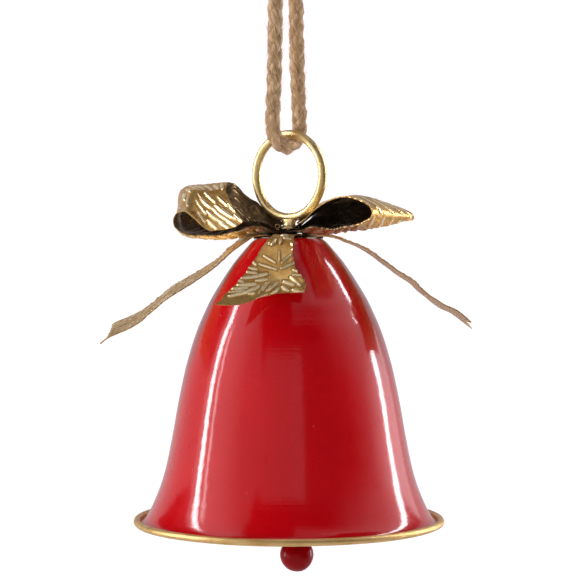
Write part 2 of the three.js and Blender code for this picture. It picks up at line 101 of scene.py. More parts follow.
def catmull(points, t):
    """Points (n, ...) sampled at parameters t from 0 to n - 1."""
    p = np.asarray(points, float)
    n = len(p)
    i = np.clip(np.floor(t).astype(int), 0, n - 2)
    f = (t - i).reshape((-1,) + (1,) * (p.ndim - 1))
    a, b, c, d = p[np.maximum(i - 1, 0)], p[i], p[i + 1], p[np.minimum(i + 2, n - 1)]
    return 0.5 * (2 * b + (c - a) * f + (2 * a - 5 * b + 4 * c - d) * f ** 2 + (3 * b - a - 3 * c + d) * f ** 3)


def resample(points, step):
    """A polyline through points with an even step."""
    p = np.asarray(points, float)
    fine = catmull(p, np.linspace(0, len(p) - 1, len(p) * 40))
    s = np.concatenate([[0], np.cumsum(np.linalg.norm(np.diff(fine, axis=0), axis=1))])
    q = np.linspace(0, s[-1], max(3, int(round(s[-1] / step)) + 1))
    return np.stack([np.interp(q, s, fine[:, k]) for k in range(3)], 1), q


def frames(line, closed=False):
    """Tangent and two normals along a polyline, with no twist."""
    t = np.gradient(line, axis=0)
    if closed:
        t = np.roll(line, -1, 0) - np.roll(line, 1, 0)
    t /= np.linalg.norm(t, axis=1)[:, None]
    first = np.array([0.0, 1.0, 0.0]) if abs(t[0][1]) < 0.8 else np.array([1.0, 0.0, 0.0])
    n = np.zeros_like(line)
    n[0] = first - t[0] * (first @ t[0])
    n[0] /= np.linalg.norm(n[0])
    for k in range(1, len(line)):
        v = n[k - 1] - t[k] * (n[k - 1] @ t[k])
        n[k] = v / np.linalg.norm(v)
    return t, n, np.cross(t, n)


def noise1(x, seed, octaves=3):
    """Smooth repeatable noise of one variable, about -1 to 1."""
    r = np.random.default_rng(seed)
    out = np.zeros_like(x, float)
    for o in range(octaves):
        table = r.uniform(-1, 1, 512)
        u = x * 2 ** o
        i = np.floor(u).astype(int)
        f = u - i
        f = f * f * (3 - 2 * f)
        out += (table[i % 512] * (1 - f) + table[(i + 1) % 512] * f) / 2 ** o
    return out / 1.6


def noise2(x, y, seed):
    """Smooth repeatable noise of two variables, about -1 to 1."""
    r = np.random.default_rng(seed)
    table = r.uniform(-1, 1, (256, 256))
    i, j = np.floor(x).astype(int), np.floor(y).astype(int)
    f, g = x - i, y - j
    f, g = f * f * (3 - 2 * f), g * g * (3 - 2 * g)
    a, b = table[i % 256, j % 256], table[(i + 1) % 256, j % 256]
    c, d = table[i % 256, (j + 1) % 256], table[(i + 1) % 256, (j + 1) % 256]
    return (a * (1 - f) + b * f) * (1 - g) + (c * (1 - f) + d * f) * g


def tube(name, line, radius, sides=20, closed=False, radial=None, caps=True):
    """A round wire along an even polyline. radial(s_index, angle) adds to the radius."""
    n = len(line)
    t, a, b = frames(line, closed)
    ang = np.arange(sides) / sides * 2 * np.pi
    r = np.broadcast_to(np.asarray(radius, float).reshape(-1, 1), (n, sides)).copy()
    if radial is not None:
        r += radial(np.arange(n)[:, None], ang[None, :])
    v = line[:, None, :] + r[..., None] * (np.cos(ang)[None, :, None] * a[:, None, :] + np.sin(ang)[None, :, None] * b[:, None, :])
    verts = v.reshape(-1, 3)
    faces = [grid_faces(n, sides, wrap_rows=closed, wrap_cols=True)]
    if caps and not closed:
        verts = np.vstack([verts, line[0], line[-1]])
        k = np.arange(sides)
        faces.append(np.stack([np.full(sides, len(verts) - 2), k, (k + 1) % sides], 1))
        e = (n - 1) * sides
        faces.append(np.stack([np.full(sides, len(verts) - 1), e + (k + 1) % sides, e + k], 1))
    return verts, faces


def outward(verts, faces):
    """Faces turned so that the closed surface's normals point out."""
    vol = 0.0
    for f in faces:
        p = verts[f[:, 0]]
        for k in range(1, f.shape[1] - 1):
            vol += np.einsum("ij,ij->i", p, np.cross(verts[f[:, k]], verts[f[:, k + 1]])).sum()
    return faces if vol > 0 else [f[:, ::-1] for f in faces]


def merged(parts):
    verts, quads, tris, at = [], [], [], 0
    for v, fs in parts:
        fs = outward(v, fs)
        for f in fs:
            (quads if f.shape[1] == 4 else tris).append(f + at)
        verts.append(v)
        at += len(v)
    faces = []
    if quads:
        faces.append(np.vstack(quads))
    if tris:
        faces.append(np.vstack(tris))
    return np.vstack(verts), faces


def lathe(section, segments, closed=True):
    """Vertices and faces of a section (r, z) turned about the bell's axis."""
    s = np.asarray(section, float)
    a = np.arange(segments) / segments * 2 * np.pi
    v = np.stack([s[:, 0][:, None] * np.sin(a), -s[:, 0][:, None] * np.cos(a), np.broadcast_to(s[:, 1][:, None], (len(s), segments))], -1)
    return v.reshape(-1, 3), [grid_faces(len(s), segments, wrap_rows=closed, wrap_cols=True)]


# ------------------------------------------------------------------ material helpers
def node_material(name):
    m = bpy.data.materials.new(name)
    m.use_nodes = True
    nt = m.node_tree
    return m, nt, nt.nodes["Principled BSDF"]


def mathn(nt, op, a, b=None, c=None, clamp=False):
    n = nt.nodes.new("ShaderNodeMath")
    n.operation = op
    n.use_clamp = clamp
    for k, x in enumerate((a, b, c)):
        if x is None:
            continue
        if isinstance(x, (int, float)):
            n.inputs[k].default_value = x
        else:
            nt.links.new(x, n.inputs[k])
    return n.outputs[0]


def step01(nt, x, lo, hi, out_lo=0.0, out_hi=1.0):
    n = nt.nodes.new("ShaderNodeMapRange")
    n.interpolation_type = "SMOOTHSTEP"
    nt.links.new(x, n.inputs["Value"])
    n.inputs["From Min"].default_value = lo
    n.inputs["From Max"].default_value = hi
    n.inputs["To Min"].default_value = out_lo
    n.inputs["To Max"].default_value = out_hi
    return n.outputs["Result"]


def object_coords(nt, scale=(1, 1, 1), rotation=(0, 0, 0)):
    tc = nt.nodes.new("ShaderNodeTexCoord")
    mp = nt.nodes.new("ShaderNodeMapping")
    mp.inputs["Scale"].default_value = scale
    mp.inputs["Rotation"].default_value = rotation
    nt.links.new(tc.outputs["Object"], mp.inputs["Vector"])
    return mp.outputs["Vector"]


def uv_coords(nt, scale=(1, 1, 1)):
    tc = nt.nodes.new("ShaderNodeTexCoord")
    mp = nt.nodes.new("ShaderNodeMapping")
    mp.inputs["Scale"].default_value = scale
    nt.links.new(tc.outputs["UV"], mp.inputs["Vector"])
    return mp.outputs["Vector"]


def noise_tex(nt, vec, scale, detail=3.0, rough=0.5, distortion=0.0):
    n = nt.nodes.new("ShaderNodeTexNoise")
    n.inputs["Scale"].default_value = scale
    n.inputs["Detail"].default_value = detail
    n.inputs["Roughness"].default_value = rough
    n.inputs["Distortion"].default_value = distortion
    nt.links.new(vec, n.inputs["Vector"])
    return n.outputs["Fac"]


def ramp(nt, fac, stops):
    n = nt.nodes.new("ShaderNodeValToRGB")
    e = n.color_ramp.elements
    while len(e) > 1:
        e.remove(e[-1])
    e[0].position, e[0].color = stops[0][0], (*stops[0][1], 1)
    for pos, col in stops[1:]:
        x = e.new(pos)
        x.color = (*col, 1)
    nt.links.new(fac, n.inputs["Fac"])
    return n.outputs["Color"]


def bump(nt, height, strength, distance, normal=None):
    n = nt.nodes.new("ShaderNodeBump")
    n.inputs["Strength"].default_value = strength
    n.inputs["Distance"].default_value = distance
    nt.links.new(height, n.inputs["Height"])
    if normal is not None:
        nt.links.new(normal, n.inputs["Normal"])
    return n.outputs["Normal"]


def mix_color(nt, fac, a, b):
    n = nt.nodes.new("ShaderNodeMix")
    n.data_type = "RGBA"
    for k, x in ((0, fac), (6, a), (7, b)):
        if isinstance(x, (int, float)):
            n.inputs[k].default_value = x
        elif isinstance(x, tuple):
            n.inputs[k].default_value = (*x, 1)
        else:
            nt.links.new(x, n.inputs[k])
    return n.outputs[2]


# ------------------------------------------------------------------ materials
def enamel_material(name, deep, light, pits=0.5, speck_scale=900.0, gloss=1.0):
    m, nt, p = node_material(name)
    oc = object_coords(nt)
    cloud = noise_tex(nt, oc, 28.0, 4.0, 0.6)
    colour = ramp(nt, cloud, [(0.35, deep), (0.65, light)])
    # sparse dust specks in the lacquer
    vor = nt.nodes.new("ShaderNodeTexVoronoi")
    vor.inputs["Scale"].default_value = speck_scale * 0.35
    nt.links.new(oc, vor.inputs["Vector"])
    near = step01(nt, vor.outputs["Distance"], 0.05, 0.13, 1.0, 0.0)
    rare = nt.nodes.new("ShaderNodeSeparateColor")
    nt.links.new(vor.outputs["Color"], rare.inputs[0])
    chosen = step01(nt, rare.outputs[0], 0.93, 0.95)
    speck = mathn(nt, "MULTIPLY", near, chosen)
    colour = mix_color(nt, mathn(nt, "MULTIPLY", speck, pits), colour, tuple(min(1.0, c * 2.2 + 0.12) for c in light))
    nt.links.new(colour, p.inputs["Base Color"])
    rough = noise_tex(nt, oc, 160.0, 3.0)
    nt.links.new(step01(nt, rough, 0.3, 0.75, 0.26, 0.36), p.inputs["Roughness"])
    p.inputs["Coat Weight"].default_value = gloss
    p.inputs["Coat Roughness"].default_value = 0.045
    p.inputs["Coat IOR"].default_value = 1.5
    p.inputs["Specular IOR Level"].default_value = 0.08
    # spin marks run round the bell, orange peel lies over them
    rings = noise_tex(nt, object_coords(nt, (8.0, 8.0, 1500.0)), 1.0, 4.0, 0.65)
    peel = noise_tex(nt, oc, 420.0, 2.0)
    n1 = bump(nt, rings, 0.055, 0.0006)
    n2 = bump(nt, peel, 0.05, 0.0005, n1)
    n3 = bump(nt, speck, 0.35, 0.0004, n2)
    nt.links.new(n3, p.inputs["Normal"])
    nt.links.new(n3, p.inputs["Coat Normal"])
    return m


def gold_material(name, dark, mid, light, r_lo, r_hi, bump_scale=900.0, bump_strength=0.12, pits=0.0, painted_bolt_shade=False, ridge_light_and_back_shade=False, metal=1.0):
    m, nt, p = node_material(name)
    oc = object_coords(nt)
    cloud = noise_tex(nt, oc, 130.0, 5.0, 0.62)
    colour = ramp(nt, cloud, [(0.30, dark), (0.5, mid), (0.72, light)])
    if ridge_light_and_back_shade:
        # painted highlight and shade: the ridges are coloured bright as a painted highlight, the ground between them
        # deeper as painted shade in the hollows, and the strip's back dark as painted shade
        lay = nt.nodes.new("ShaderNodeSeparateXYZ")
        nt.links.new(uv_coords(nt), lay.inputs[0])
        ridge_highlight = step01(nt, mathn(nt, "ADD", lay.outputs[1], mathn(nt, "MULTIPLY", cloud, 0.25)), 0.14, 0.60)
        colour = mix_color(nt, ridge_highlight, colour, ridge_light_and_back_shade[0])
        # the u mask marks painted shade: the strip's back face, the left loop's near end and the lower runs
        back = step01(nt, lay.outputs[0], 0.35, 0.65)
        colour = mix_color(nt, back, colour, ramp(nt, cloud, [(0.36, ridge_light_and_back_shade[1]), (0.66, ridge_light_and_back_shade[2])]))
    if painted_bolt_shade:
        # painted shade: the colour is darkened round the bolt, where the stacked strips shade one another over the
        # crown; the roughness is raised and the metal lowered there too
        xyz = nt.nodes.new("ShaderNodeSeparateXYZ")
        nt.links.new(oc, xyz.inputs[0])
        dx = mathn(nt, "SUBTRACT", xyz.outputs[0], 0.0012)
        reach = mathn(nt, "SQRT", mathn(nt, "ADD", mathn(nt, "MULTIPLY", dx, dx), mathn(nt, "MULTIPLY", xyz.outputs[1], xyz.outputs[1])))
        reach = mathn(nt, "ADD", reach, mathn(nt, "MULTIPLY", cloud, 0.004))
        unshaded = step01(nt, reach, 0.0085, 0.0135)
        # near-black painted shade colour in the ring round the bolt
        colour = mix_color(nt, unshaded, (0.045, 0.026, 0.012), colour)
    nt.links.new(colour, p.inputs["Base Color"])
    p.inputs["Metallic"].default_value = metal
    smear = noise_tex(nt, oc, 300.0, 4.0, 0.6)
    rough = step01(nt, smear, 0.3, 0.7, r_lo, r_hi)
    if painted_bolt_shade:
        shaded = mathn(nt, "SUBTRACT", 1.0, unshaded)
        rough = mathn(nt, "MAXIMUM", rough, mathn(nt, "MULTIPLY", shaded, 0.85))
        nt.links.new(mathn(nt, "MULTIPLY", unshaded, metal), p.inputs["Metallic"])
        nt.links.new(mathn(nt, "MULTIPLY", unshaded, 0.5), p.inputs["Specular IOR Level"])
    nt.links.new(rough, p.inputs["Roughness"])
    fine = noise_tex(nt, oc, bump_scale, 3.0, 0.6)
    nrm = bump(nt, fine, bump_strength, 0.0004)
    if pits:
        vor = nt.nodes.new("ShaderNodeTexVoronoi")
        vor.inputs["Scale"].default_value = 420.0
        nt.links.new(oc, vor.inputs["Vector"])
        hole = step01(nt, vor.outputs["Distance"], 0.03, 0.16, 0.0, 1.0)
        sep = nt.nodes.new("ShaderNodeSeparateColor")
        nt.links.new(vor.outputs["Color"], sep.inputs[0])
        keep = step01(nt, sep.outputs[0], 0.80, 0.84, 1.0, 0.0)
        depth = mathn(nt, "MAXIMUM", hole, keep)
        nrm = bump(nt, depth, pits, 0.0004, nrm)
    nt.links.new(nrm, p.inputs["Normal"])
    return m


MAT_ENAMEL = enamel_material("red_enamel", (0.60, 0.0005, 0.0045), (0.66, 0.0008, 0.0060), 0.25)
MAT_BALL = enamel_material("ball_enamel", (0.27, 0.0006, 0.003), (0.33, 0.001, 0.004), 0.8, 2600.0, 0.2)
MAT_RIM = gold_material("rim_gold", (0.66, 0.42, 0.14), (0.80, 0.54, 0.21), (0.90, 0.66, 0.30), 0.32, 0.45, 1500.0, 0.35, metal=0.78)
MAT_RING = gold_material("ring_gold", (0.70, 0.50, 0.20), (0.84, 0.64, 0.29), (0.92, 0.75, 0.40), 0.24, 0.36, 1200.0, 0.18, 0.5, metal=0.88)
# the bow's colour carries painted shade round the bolt, in the hollows and on the strip backs, and a painted highlight
# on the pressed ridges
MAT_BOW = gold_material("bow_gold", (0.50, 0.27, 0.065), (0.66, 0.40, 0.12), (0.80, 0.54, 0.20), 0.25, 0.38, 1400.0, 0.10, painted_bolt_shade=True, metal=0.72,
                        ridge_light_and_back_shade=((0.98, 0.82, 0.50), (0.075, 0.045, 0.018), (0.24, 0.155, 0.07)))
# near-black painted shade for the folds in the gap over the crown
MAT_FOLD_SHADE = gold_material("painted_shade_black", (0.020, 0.010, 0.005), (0.040, 0.022, 0.010), (0.12, 0.07, 0.03), 0.5, 0.7, 1400.0, 0.3, metal=0.2)
MAT_STEEL = gold_material("zinc_steel", (0.34, 0.34, 0.35), (0.46, 0.46, 0.47), (0.58, 0.58, 0.58), 0.28, 0.42, 1500.0, 0.2)


def jute_material(name, dark, mid, light):
    m, nt, p = node_material(name)
    uv = uv_coords(nt, (1, 1, 1))
    streak = noise_tex(nt, uv_coords(nt, (3.4, 30.0, 1)), 1.0, 5.0, 0.7)
    blotch = noise_tex(nt, uv_coords(nt, (1.6, 5.0, 1)), 1.0, 3.0, 0.6)
    fac = mathn(nt, "ADD", mathn(nt, "MULTIPLY", streak, 0.65), mathn(nt, "MULTIPLY", blotch, 0.35))
    colour = ramp(nt, fac, [(0.39, dark), (0.5, mid), (0.60, light)])
    nt.links.new(colour, p.inputs["Base Color"])
    p.inputs["Roughness"].default_value = 0.9
    p.inputs["Sheen Weight"].default_value = 0.25
    p.inputs["Sheen Roughness"].default_value = 0.5
    nt.links.new(step01(nt, blotch, 0.3, 0.7, 0.8, 0.95), p.inputs["Roughness"])
    fibre = noise_tex(nt, uv_coords(nt, (2.5, 60.0, 1)), 1.0, 4.0, 0.7)
    nt.links.new(bump(nt, fibre, 0.7, 0.0005), p.inputs["Normal"])
    return m


MAT_JUTE = jute_material("jute", (0.20, 0.10, 0.04), (0.64, 0.405, 0.20), (0.96, 0.71, 0.45))
MAT_FIBRE = jute_material("jute_fibre", (0.50, 0.33, 0.18), (0.72, 0.52, 0.32), (0.85, 0.66, 0.45))


# ------------------------------------------------------------------ jute loop
YAW = math.radians(-37.5)
HANG_X, HANG_Z, CORD_LOW_X = -1.2, 204.0, -1.0
CORD_HALF, CORD_LOW_Z, CORD_D = 7.8, 133.7, 5.3
NX, NY = math.sin(YAW), -math.cos(YAW)
TX, TY = math.cos(YAW), math.sin(YAW)


def cord_point(a, z):
    x = HANG_X + (CORD_LOW_X - HANG_X) * min(1.0, (HANG_Z - z) / 60.0)
    return [x + NX * a, NY * a, z]


side = [(2.3, 199.1), (2.88, 197.82), (3.55, 196.2), (4.35, 193.9), (5.15, 190.8), (5.8, 187.0), (6.0, 182.0), (6.15, 175.5), (6.35, 168.5), (6.65, 161.0), (7.05, 153.5), (7.5, 147.0)]
bight = [(CORD_HALF * math.cos(k / 8 * math.pi), CORD_LOW_Z + CORD_HALF - CORD_HALF * math.sin(k / 8 * math.pi)) for k in range(9)]
cord_line = [cord_point(a, z) for a, z in side + bight + [(-a, z) for a, z in reversed(side)]]


def rope(line_points, twist0, pitch=18.5, step=0.25, ply_r=1.58, ply_off=1.12, sides=26, taper=0.0, seed=1, ease=None):
    """Three twisted plies along a line: vertices, faces, uv."""
    line, q = resample(line_points, step)
    t, a, b = frames(line)
    out, uvs = [], []
    total = q[-1]
    for k in range(3):
        phi = twist0 + 2 * np.pi * q / pitch + k * 2 * np.pi / 3 + 0.25 * noise1(q / 9.0, seed + k)
        off = ply_off * (1 + 0.06 * noise1(q / 5.0, seed + 10 + k))
        c = line + off[:, None] * (np.cos(phi)[:, None] * a + np.sin(phi)[:, None] * b)
        ends = np.clip(np.minimum(q, total - q) / 1.0, 0.0, 1.0) ** 0.5 if taper else np.ones_like(q)
        r = ply_r * (1 + 0.07 * noise1(q / 3.7, seed + 20 + k)) * (1 - taper + taper * ends)

        def radial(i, ang, k=k):
            s = q[i]
            w = ang - 2 * np.pi * s / 11.0
            return 0.07 * np.sin(8 * w + 1.3 * k + 0.5 * np.sin(s / 2.3)) + 0.06 * np.sin(13 * w - 2.1 * k + s * 0.35) + 0.06 * np.sin(5 * w + s * 0.9 + k) + 0.13 * noise2(s * 1.1 + 20 + 0 * ang, ang * 2.2 + s * 0.5 + 9 * k, seed + 3)

        v, f = tube("", c, r, sides, radial=radial)
        u = np.repeat(q, sides)
        w = np.tile(np.arange(sides) / sides, len(q)) + u / 11.0 * 1.0
        uv = np.stack([u / 10.0, w + 3.7 * k], 1)
        uv = np.vstack([uv, uv[:1], uv[-1:]])
        out.append((v, f))
        uvs.append(uv)
    v, f = merged(out)
    return v, f, np.vstack(uvs), line, (t, a, b), q


def stray_fibres(line_points, count, seed, radius=2.62, longest=9.0, thick=0.05):
    r = np.random.default_rng(seed)
    line, q = resample(line_points, 0.5)
    t, a, b = frames(line)
    parts = []
    for _ in range(count):
        i = int(r.integers(4, len(line) - 4))
        ang = r.uniform(0, 2 * np.pi)
        out = math.cos(ang) * a[i] + math.sin(ang) * b[i]
        around = -math.sin(ang) * a[i] + math.cos(ang) * b[i]
        along = t[i] * r.choice([-1, 1])
        length = r.uniform(2.0, longest) * r.uniform(0.4, 1.0)
        lift = r.uniform(0.02, 0.42)
        curl = r.uniform(-0.5, 0.5)
        n = 8
        u = np.linspace(0, 1, n)
        rr = radius + length * lift * u ** 1.5
        base = line[i] + out * rr[:, None] - out * 0.25 * (1 - u)[:, None]
        p = base + along * (length * u * 0.9)[:, None] + around * (length * curl * u ** 2 * 0.6 + 0.25 * np.sin(u * 7 + ang))[:, None]
        # follow the cord's bend
        j = np.clip(i + np.round(length * u * 0.9 / 0.5 * (1 if along @ t[i] > 0 else -1)).astype(int), 0, len(line) - 1)
        p += (line[j] - line[i]) - along * (np.abs(j - i) * 0.5)[:, None]
        w = thick * r.uniform(0.6, 1.25) * (1 - 0.75 * u)
        parts.append(tube("", p, w, 4))
    return merged(parts)


v, f, uv, line, fr, q = rope(cord_line, 0.6)
jute_loop = mesh_object("jute_twine", v, f, uv)
jute_loop.data.materials.append(MAT_JUTE)
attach(jute_loop, "cord_loop")
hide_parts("jute_loop")
v, f = stray_fibres(cord_line, 750, 11)
jute_fuzz = mesh_object("jute_stray_fibres", v, f, np.random.default_rng(5).uniform(0, 9, (len(v), 2)))
jute_fuzz.data.materials.append(MAT_FIBRE)
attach(jute_fuzz, "cord_loop")

# the knot: the cord laid round itself, drawn tight, with two short frayed ends
kt = np.linspace(0, 2 * np.pi, 60)
kx, kz, ky = 1.42 * (np.sin(kt) + 2 * np.sin(2 * kt)), 1.42 * (np.cos(kt) - 2 * np.cos(2 * kt)), -2.3 * np.sin(3 * kt)
knot_line = np.stack([HANG_X + TX * kx + NX * ky, TY * kx + NY * ky, HANG_Z + kz + 0.2], 1)
kv, kf, kuv, _, _, _ = rope(knot_line, 0.0, ply_r=1.30, ply_off=1.15, seed=31)
knot_parts, knot_uv = [(kv, kf)], [kuv]
knot_ends = []
for sgn in (1, -1):
    end = [[HANG_X + TX * 0.8 * sgn, TY * 0.8 * sgn + 1.0 * sgn, HANG_Z + 1.0], [HANG_X + TX * 2.0 * sgn, TY * 2.0 * sgn + 1.4 * sgn, HANG_Z + 5.0],
           [HANG_X + TX * 2.9 * sgn, TY * 2.9 * sgn + 1.5 * sgn, HANG_Z + 9.0], [HANG_X + TX * 3.3 * sgn, TY * 3.3 * sgn + 1.2 * sgn, HANG_Z + 14.5 + sgn]]
    knot_ends.append(end)
    ev, ef, euv, _, _, _ = rope(end, 0.7 * sgn, ply_r=1.32, ply_off=1.2, taper=0.5, seed=40 + sgn)
    knot_parts.append((ev, ef))
    knot_uv.append(euv)
v, f = merged(knot_parts)
knot = mesh_object("jute_knot", v, f, np.vstack(knot_uv))
knot.data.materials.append(MAT_JUTE)
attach(knot, "hanger")
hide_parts("loop_knot")
tufts = [stray_fibres(knot_line, 160, 51, 2.4, 6.0)]
for k, end in enumerate(knot_ends):
    tufts.append(stray_fibres(end, 60, 60 + k, 2.3, 5.0))
v, f = merged(tufts)
knot_fuzz = mesh_object("jute_knot_fibres", v, f, np.random.default_rng(6).uniform(0, 9, (len(v), 2)))
knot_fuzz.data.materials.append(MAT_FIBRE)
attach(knot_fuzz, "hanger")

cord_length = float(np.linalg.norm(np.diff(to_m(np.array(line)), axis=0), axis=1).sum())


# ------------------------------------------------------------------ bell shell and rim
def finish_piece(name, verts, faces, material, body, nodes=(), uv=None, smooth=True):
    o = mesh_object(name, verts, faces, uv, smooth)
    o.data.materials.append(material)
    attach(o, body)
    if nodes:
        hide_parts(*nodes)
    return o


PROFILE = [(11.0, 101.5), (12.6, 100.9), (14.4, 98.9), (16.4, 96.5), (18.3, 94.3), (19.9, 92.2), (21.4, 90.0), (22.8, 87.9), (24.1, 85.8), (25.5, 83.6), (26.8, 81.4),
           (28.0, 79.3), (29.9, 75.2), (31.8, 71.0), (33.4, 66.7), (34.8, 62.4), (36.0, 58.2), (37.1, 53.9), (38.0, 49.7), (38.9, 45.4), (39.7, 41.2), (40.45, 36.9), (41.2, 32.6),
           (42.0, 28.4), (42.85, 24.1), (43.8, 19.9), (45.0, 15.6), (46.5, 11.4), (48.2, 7.3), (49.3, 5.0), (50.5, 2.9), (51.5, 1.6), (52.4, 0.95), (53.1, 0.8)]
outer = resample(np.array([[0, 0, 0]] + [(r, 0, z) for r, z in PROFILE])[1:], 0.55)[0][:, [0, 2]]
for _ in range(10):
    outer[1:-1] = 0.25 * outer[:-2] + 0.5 * outer[1:-1] + 0.25 * outer[2:]
flat = np.array([[r, 101.5] for r in np.linspace(1.6, 10.6, 12)])
outer = np.vstack([flat, outer[outer[:, 0] > 10.9]])
d = np.gradient(outer, axis=0)
d /= np.linalg.norm(d, axis=1)[:, None]
inner = outer + 0.6 * np.stack([d[:, 1], -d[:, 0]], 1)
inner[:12, 1] = 100.9
inner[:, 0] = np.maximum(inner[:, 0], 1.6)
section = np.vstack([outer, inner[::-1]])
SEG = 300
v, f = lathe(section, SEG)
# spun sheet is never quite true: a slow waviness and one small ding
ang = np.arctan2(v[:, 0], -v[:, 1])
rr = np.hypot(v[:, 0], v[:, 1])
wave = 0.045 * (np.sin(3 * ang + v[:, 2] / 19.0) * 0.5 + np.sin(5 * ang - v[:, 2] / 27.0) * 0.35 + np.sin(2 * ang + v[:, 2] / 9.0) * 0.2)
wave *= np.clip((100.0 - v[:, 2]) / 20.0, 0, 1) * np.clip((v[:, 2] - 2.0) / 10.0, 0, 1)
ding = -0.22 * np.exp(-(((ang - math.radians(51)) * rr) ** 2 / 6.5 + (v[:, 2] - 75.5) ** 2 / 12.0))
move = (wave + ding) / np.maximum(rr, 1e-6)
v[:, 0] *= 1 + move
v[:, 1] *= 1 + move
shell = finish_piece("enamelled_bell_shell", v, outward(v, f), MAT_ENAMEL, "bell", ["bell_shell"])

bead = []
for k in range(28):
    a = -k / 28 * 2 * math.pi
    bead.append((54.0 + 1.2 * math.cos(a), 1.1 + 1.25 * math.sin(a)))
v, f = lathe(bead, SEG)
ang = np.arctan2(v[:, 0], -v[:, 1])
v[:, 2] += 0.05 * np.sin(2 * ang + 0.4) + 0.03 * np.sin(7 * ang)
rim = finish_piece("rolled_gilt_rim", v, outward(v, f), MAT_RIM, "bell", ["rim_bead"])

# ------------------------------------------------------------------ hanging ring
RING_R, RING_WIRE_R, RING_Z = 14.75, 1.52, 123.5
n = 260
a = np.arange(n) / n * 2 * np.pi - np.pi / 2
rad = RING_R + 0.06 * np.sin(3 * a + 0.5) + 0.04 * np.sin(5 * a)
ring_line = np.stack([TX * rad * np.cos(a), TY * rad * np.cos(a), RING_Z + rad * np.sin(a)], 1)
ring_v, ring_f = tube("", ring_line, RING_WIRE_R, 32, closed=True, radial=lambda i, th: 0.018 * np.sin(3 * th + i * 0.21) + 0.012 * np.sin(i * 0.47))
neck_rows = [(104.62, 2.55, 2.55), (104.8, 2.75, 2.75), (105.15, 2.75, 2.7), (105.5, 2.5, 2.35), (106.1, 2.3, 1.9), (106.8, 2.5, 1.7), (107.4, 2.9, 1.6), (107.9, 3.5, 1.5), (108.3, 3.5, 1.25), (108.8, 4.6, 1.0), (109.2, 4.9, 0.6)]
neck_fine = catmull(np.array(neck_rows), np.linspace(0, len(neck_rows) - 1, 50))
th = np.arange(40) / 40 * 2 * np.pi
nv = np.stack([TX * neck_fine[:, 1][:, None] * np.cos(th) + NX * neck_fine[:, 2][:, None] * np.sin(th),
               TY * neck_fine[:, 1][:, None] * np.cos(th) + NY * neck_fine[:, 2][:, None] * np.sin(th),
               np.broadcast_to(neck_fine[:, 0][:, None], (50, 40))], -1).reshape(-1, 3)
lump = noise2(nv[:, 0] * 0.9 + 9, nv[:, 2] * 0.9 + nv[:, 1] * 0.7, 8) * 0.12
nv[:, :2] *= (1 + lump * 0.6)[:, None]
nv = np.vstack([nv, [[0, 0, 104.62]], [[0, 0, 109.25]]])
k = np.arange(40)
nf = [grid_faces(50, 40, wrap_cols=True), np.vstack([np.stack([np.full(40, 2000), k, (k + 1) % 40], 1), np.stack([np.full(40, 2001), 1960 + (k + 1) % 40, 1960 + k], 1)])]
v, f = merged([(ring_v, ring_f), (nv, nf)])
ring = finish_piece("hanging_ring_wire", v, f, MAT_RING, "bell", ["hanging_ring"])


# ------------------------------------------------------------------ the bow: thin embossed strips
def stroke_height(s, v, strokes):
    """Raised strokes (s0, v0, s1, v1, half width, height) on a sheet, in its own millimetres."""
    h = np.zeros_like(s)
    for s0, v0, s1, v1, w, up in strokes:
        pad = w * 2.2
        box = (s > min(s0, s1) - pad) & (s < max(s0, s1) + pad) & (v > min(v0, v1) - pad) & (v < max(v0, v1) + pad)
        if not box.any():
            continue
        ps, pv = s[box], v[box]
        ds, dv = s1 - s0, v1 - v0
        l2 = max(ds * ds + dv * dv, 1e-9)
        t = np.clip(((ps - s0) * ds + (pv - v0) * dv) / l2, 0, 1)
        dist = np.hypot(ps - s0 - t * ds, pv - v0 - t * dv)
        wide = w * (0.62 + 0.38 * np.sin(np.pi * np.clip(t * 0.85 + 0.1, 0, 1)))
        x = np.clip(dist / wide, 0, 2.0)
        bump_ = np.where(x < 1, np.cos(x * np.pi / 2) ** 1.2, 0) * up - np.where((x >= 0.9) & (x < 2.0), np.sin((x - 0.9) / 1.1 * np.pi) ** 2, 0) * up * 0.22
        cur = h[box]
        h[box] = np.where(bump_ > 0, np.maximum(cur, bump_), np.where(cur > 0, cur, np.minimum(cur, bump_)))
    return h


def star_strokes(s0, v0, turn=0.0, size=1.0, rays=8):
    out = []
    for k in range(rays):
        a = turn + k * 2 * math.pi / rays
        r0, r1 = 2.0 * size, (6.6 if k % 2 else 5.4) * size
        out.append((s0 + r0 * math.cos(a), v0 + r0 * math.sin(a), s0 + r1 * math.cos(a), v0 + r1 * math.sin(a), 0.62 * size, 0.34))
    for k in range(rays * 2):
        a = turn + (k + 0.5) * math.pi / rays
        r0, r1 = 6.9 * size, (11.2 if k % 2 else 10.0) * size
        out.append((s0 + r0 * math.cos(a), v0 + r0 * math.sin(a), s0 + r1 * math.cos(a), v0 + r1 * math.sin(a), 0.72 * size, 0.38))
    return out


def feather_strokes(s_lo, s_hi, step, v_in, v_out, slant, seed):
    r = np.random.default_rng(seed)
    out = []
    s = s_lo
    while s < s_hi:
        for sgn in (-1, 1):
            a = v_in * r.uniform(0.75, 1.25)
            out.append((s, sgn * a, s + slant * r.uniform(0.8, 1.15), sgn * v_out * r.uniform(0.92, 1.05), 0.66, 0.36 * r.uniform(0.8, 1.15)))
        s += step * r.uniform(0.9, 1.1)
    return out


def strip_pattern(length, seed, spacing=25.0, start=13.0, half=13.0, turn=0.2):
    strokes = []
    s = start
    k = 0
    while s < length + 8:
        strokes += star_strokes(s, 0.0, turn + 0.4 * k, 1.0)
        strokes += feather_strokes(s + 9.5, s + spacing - 8.5, 1.9, 2.2, half + 0.5, 4.2, seed + k)
        for sgn in (-1, 1):
            for d in (-7.5, -5.2, 5.2, 7.5):
                strokes.append((s + d, sgn * 9.2, s + d * 1.5, sgn * (half + 0.4), 0.6, 0.3))
        s += spacing
        k += 1
    return strokes


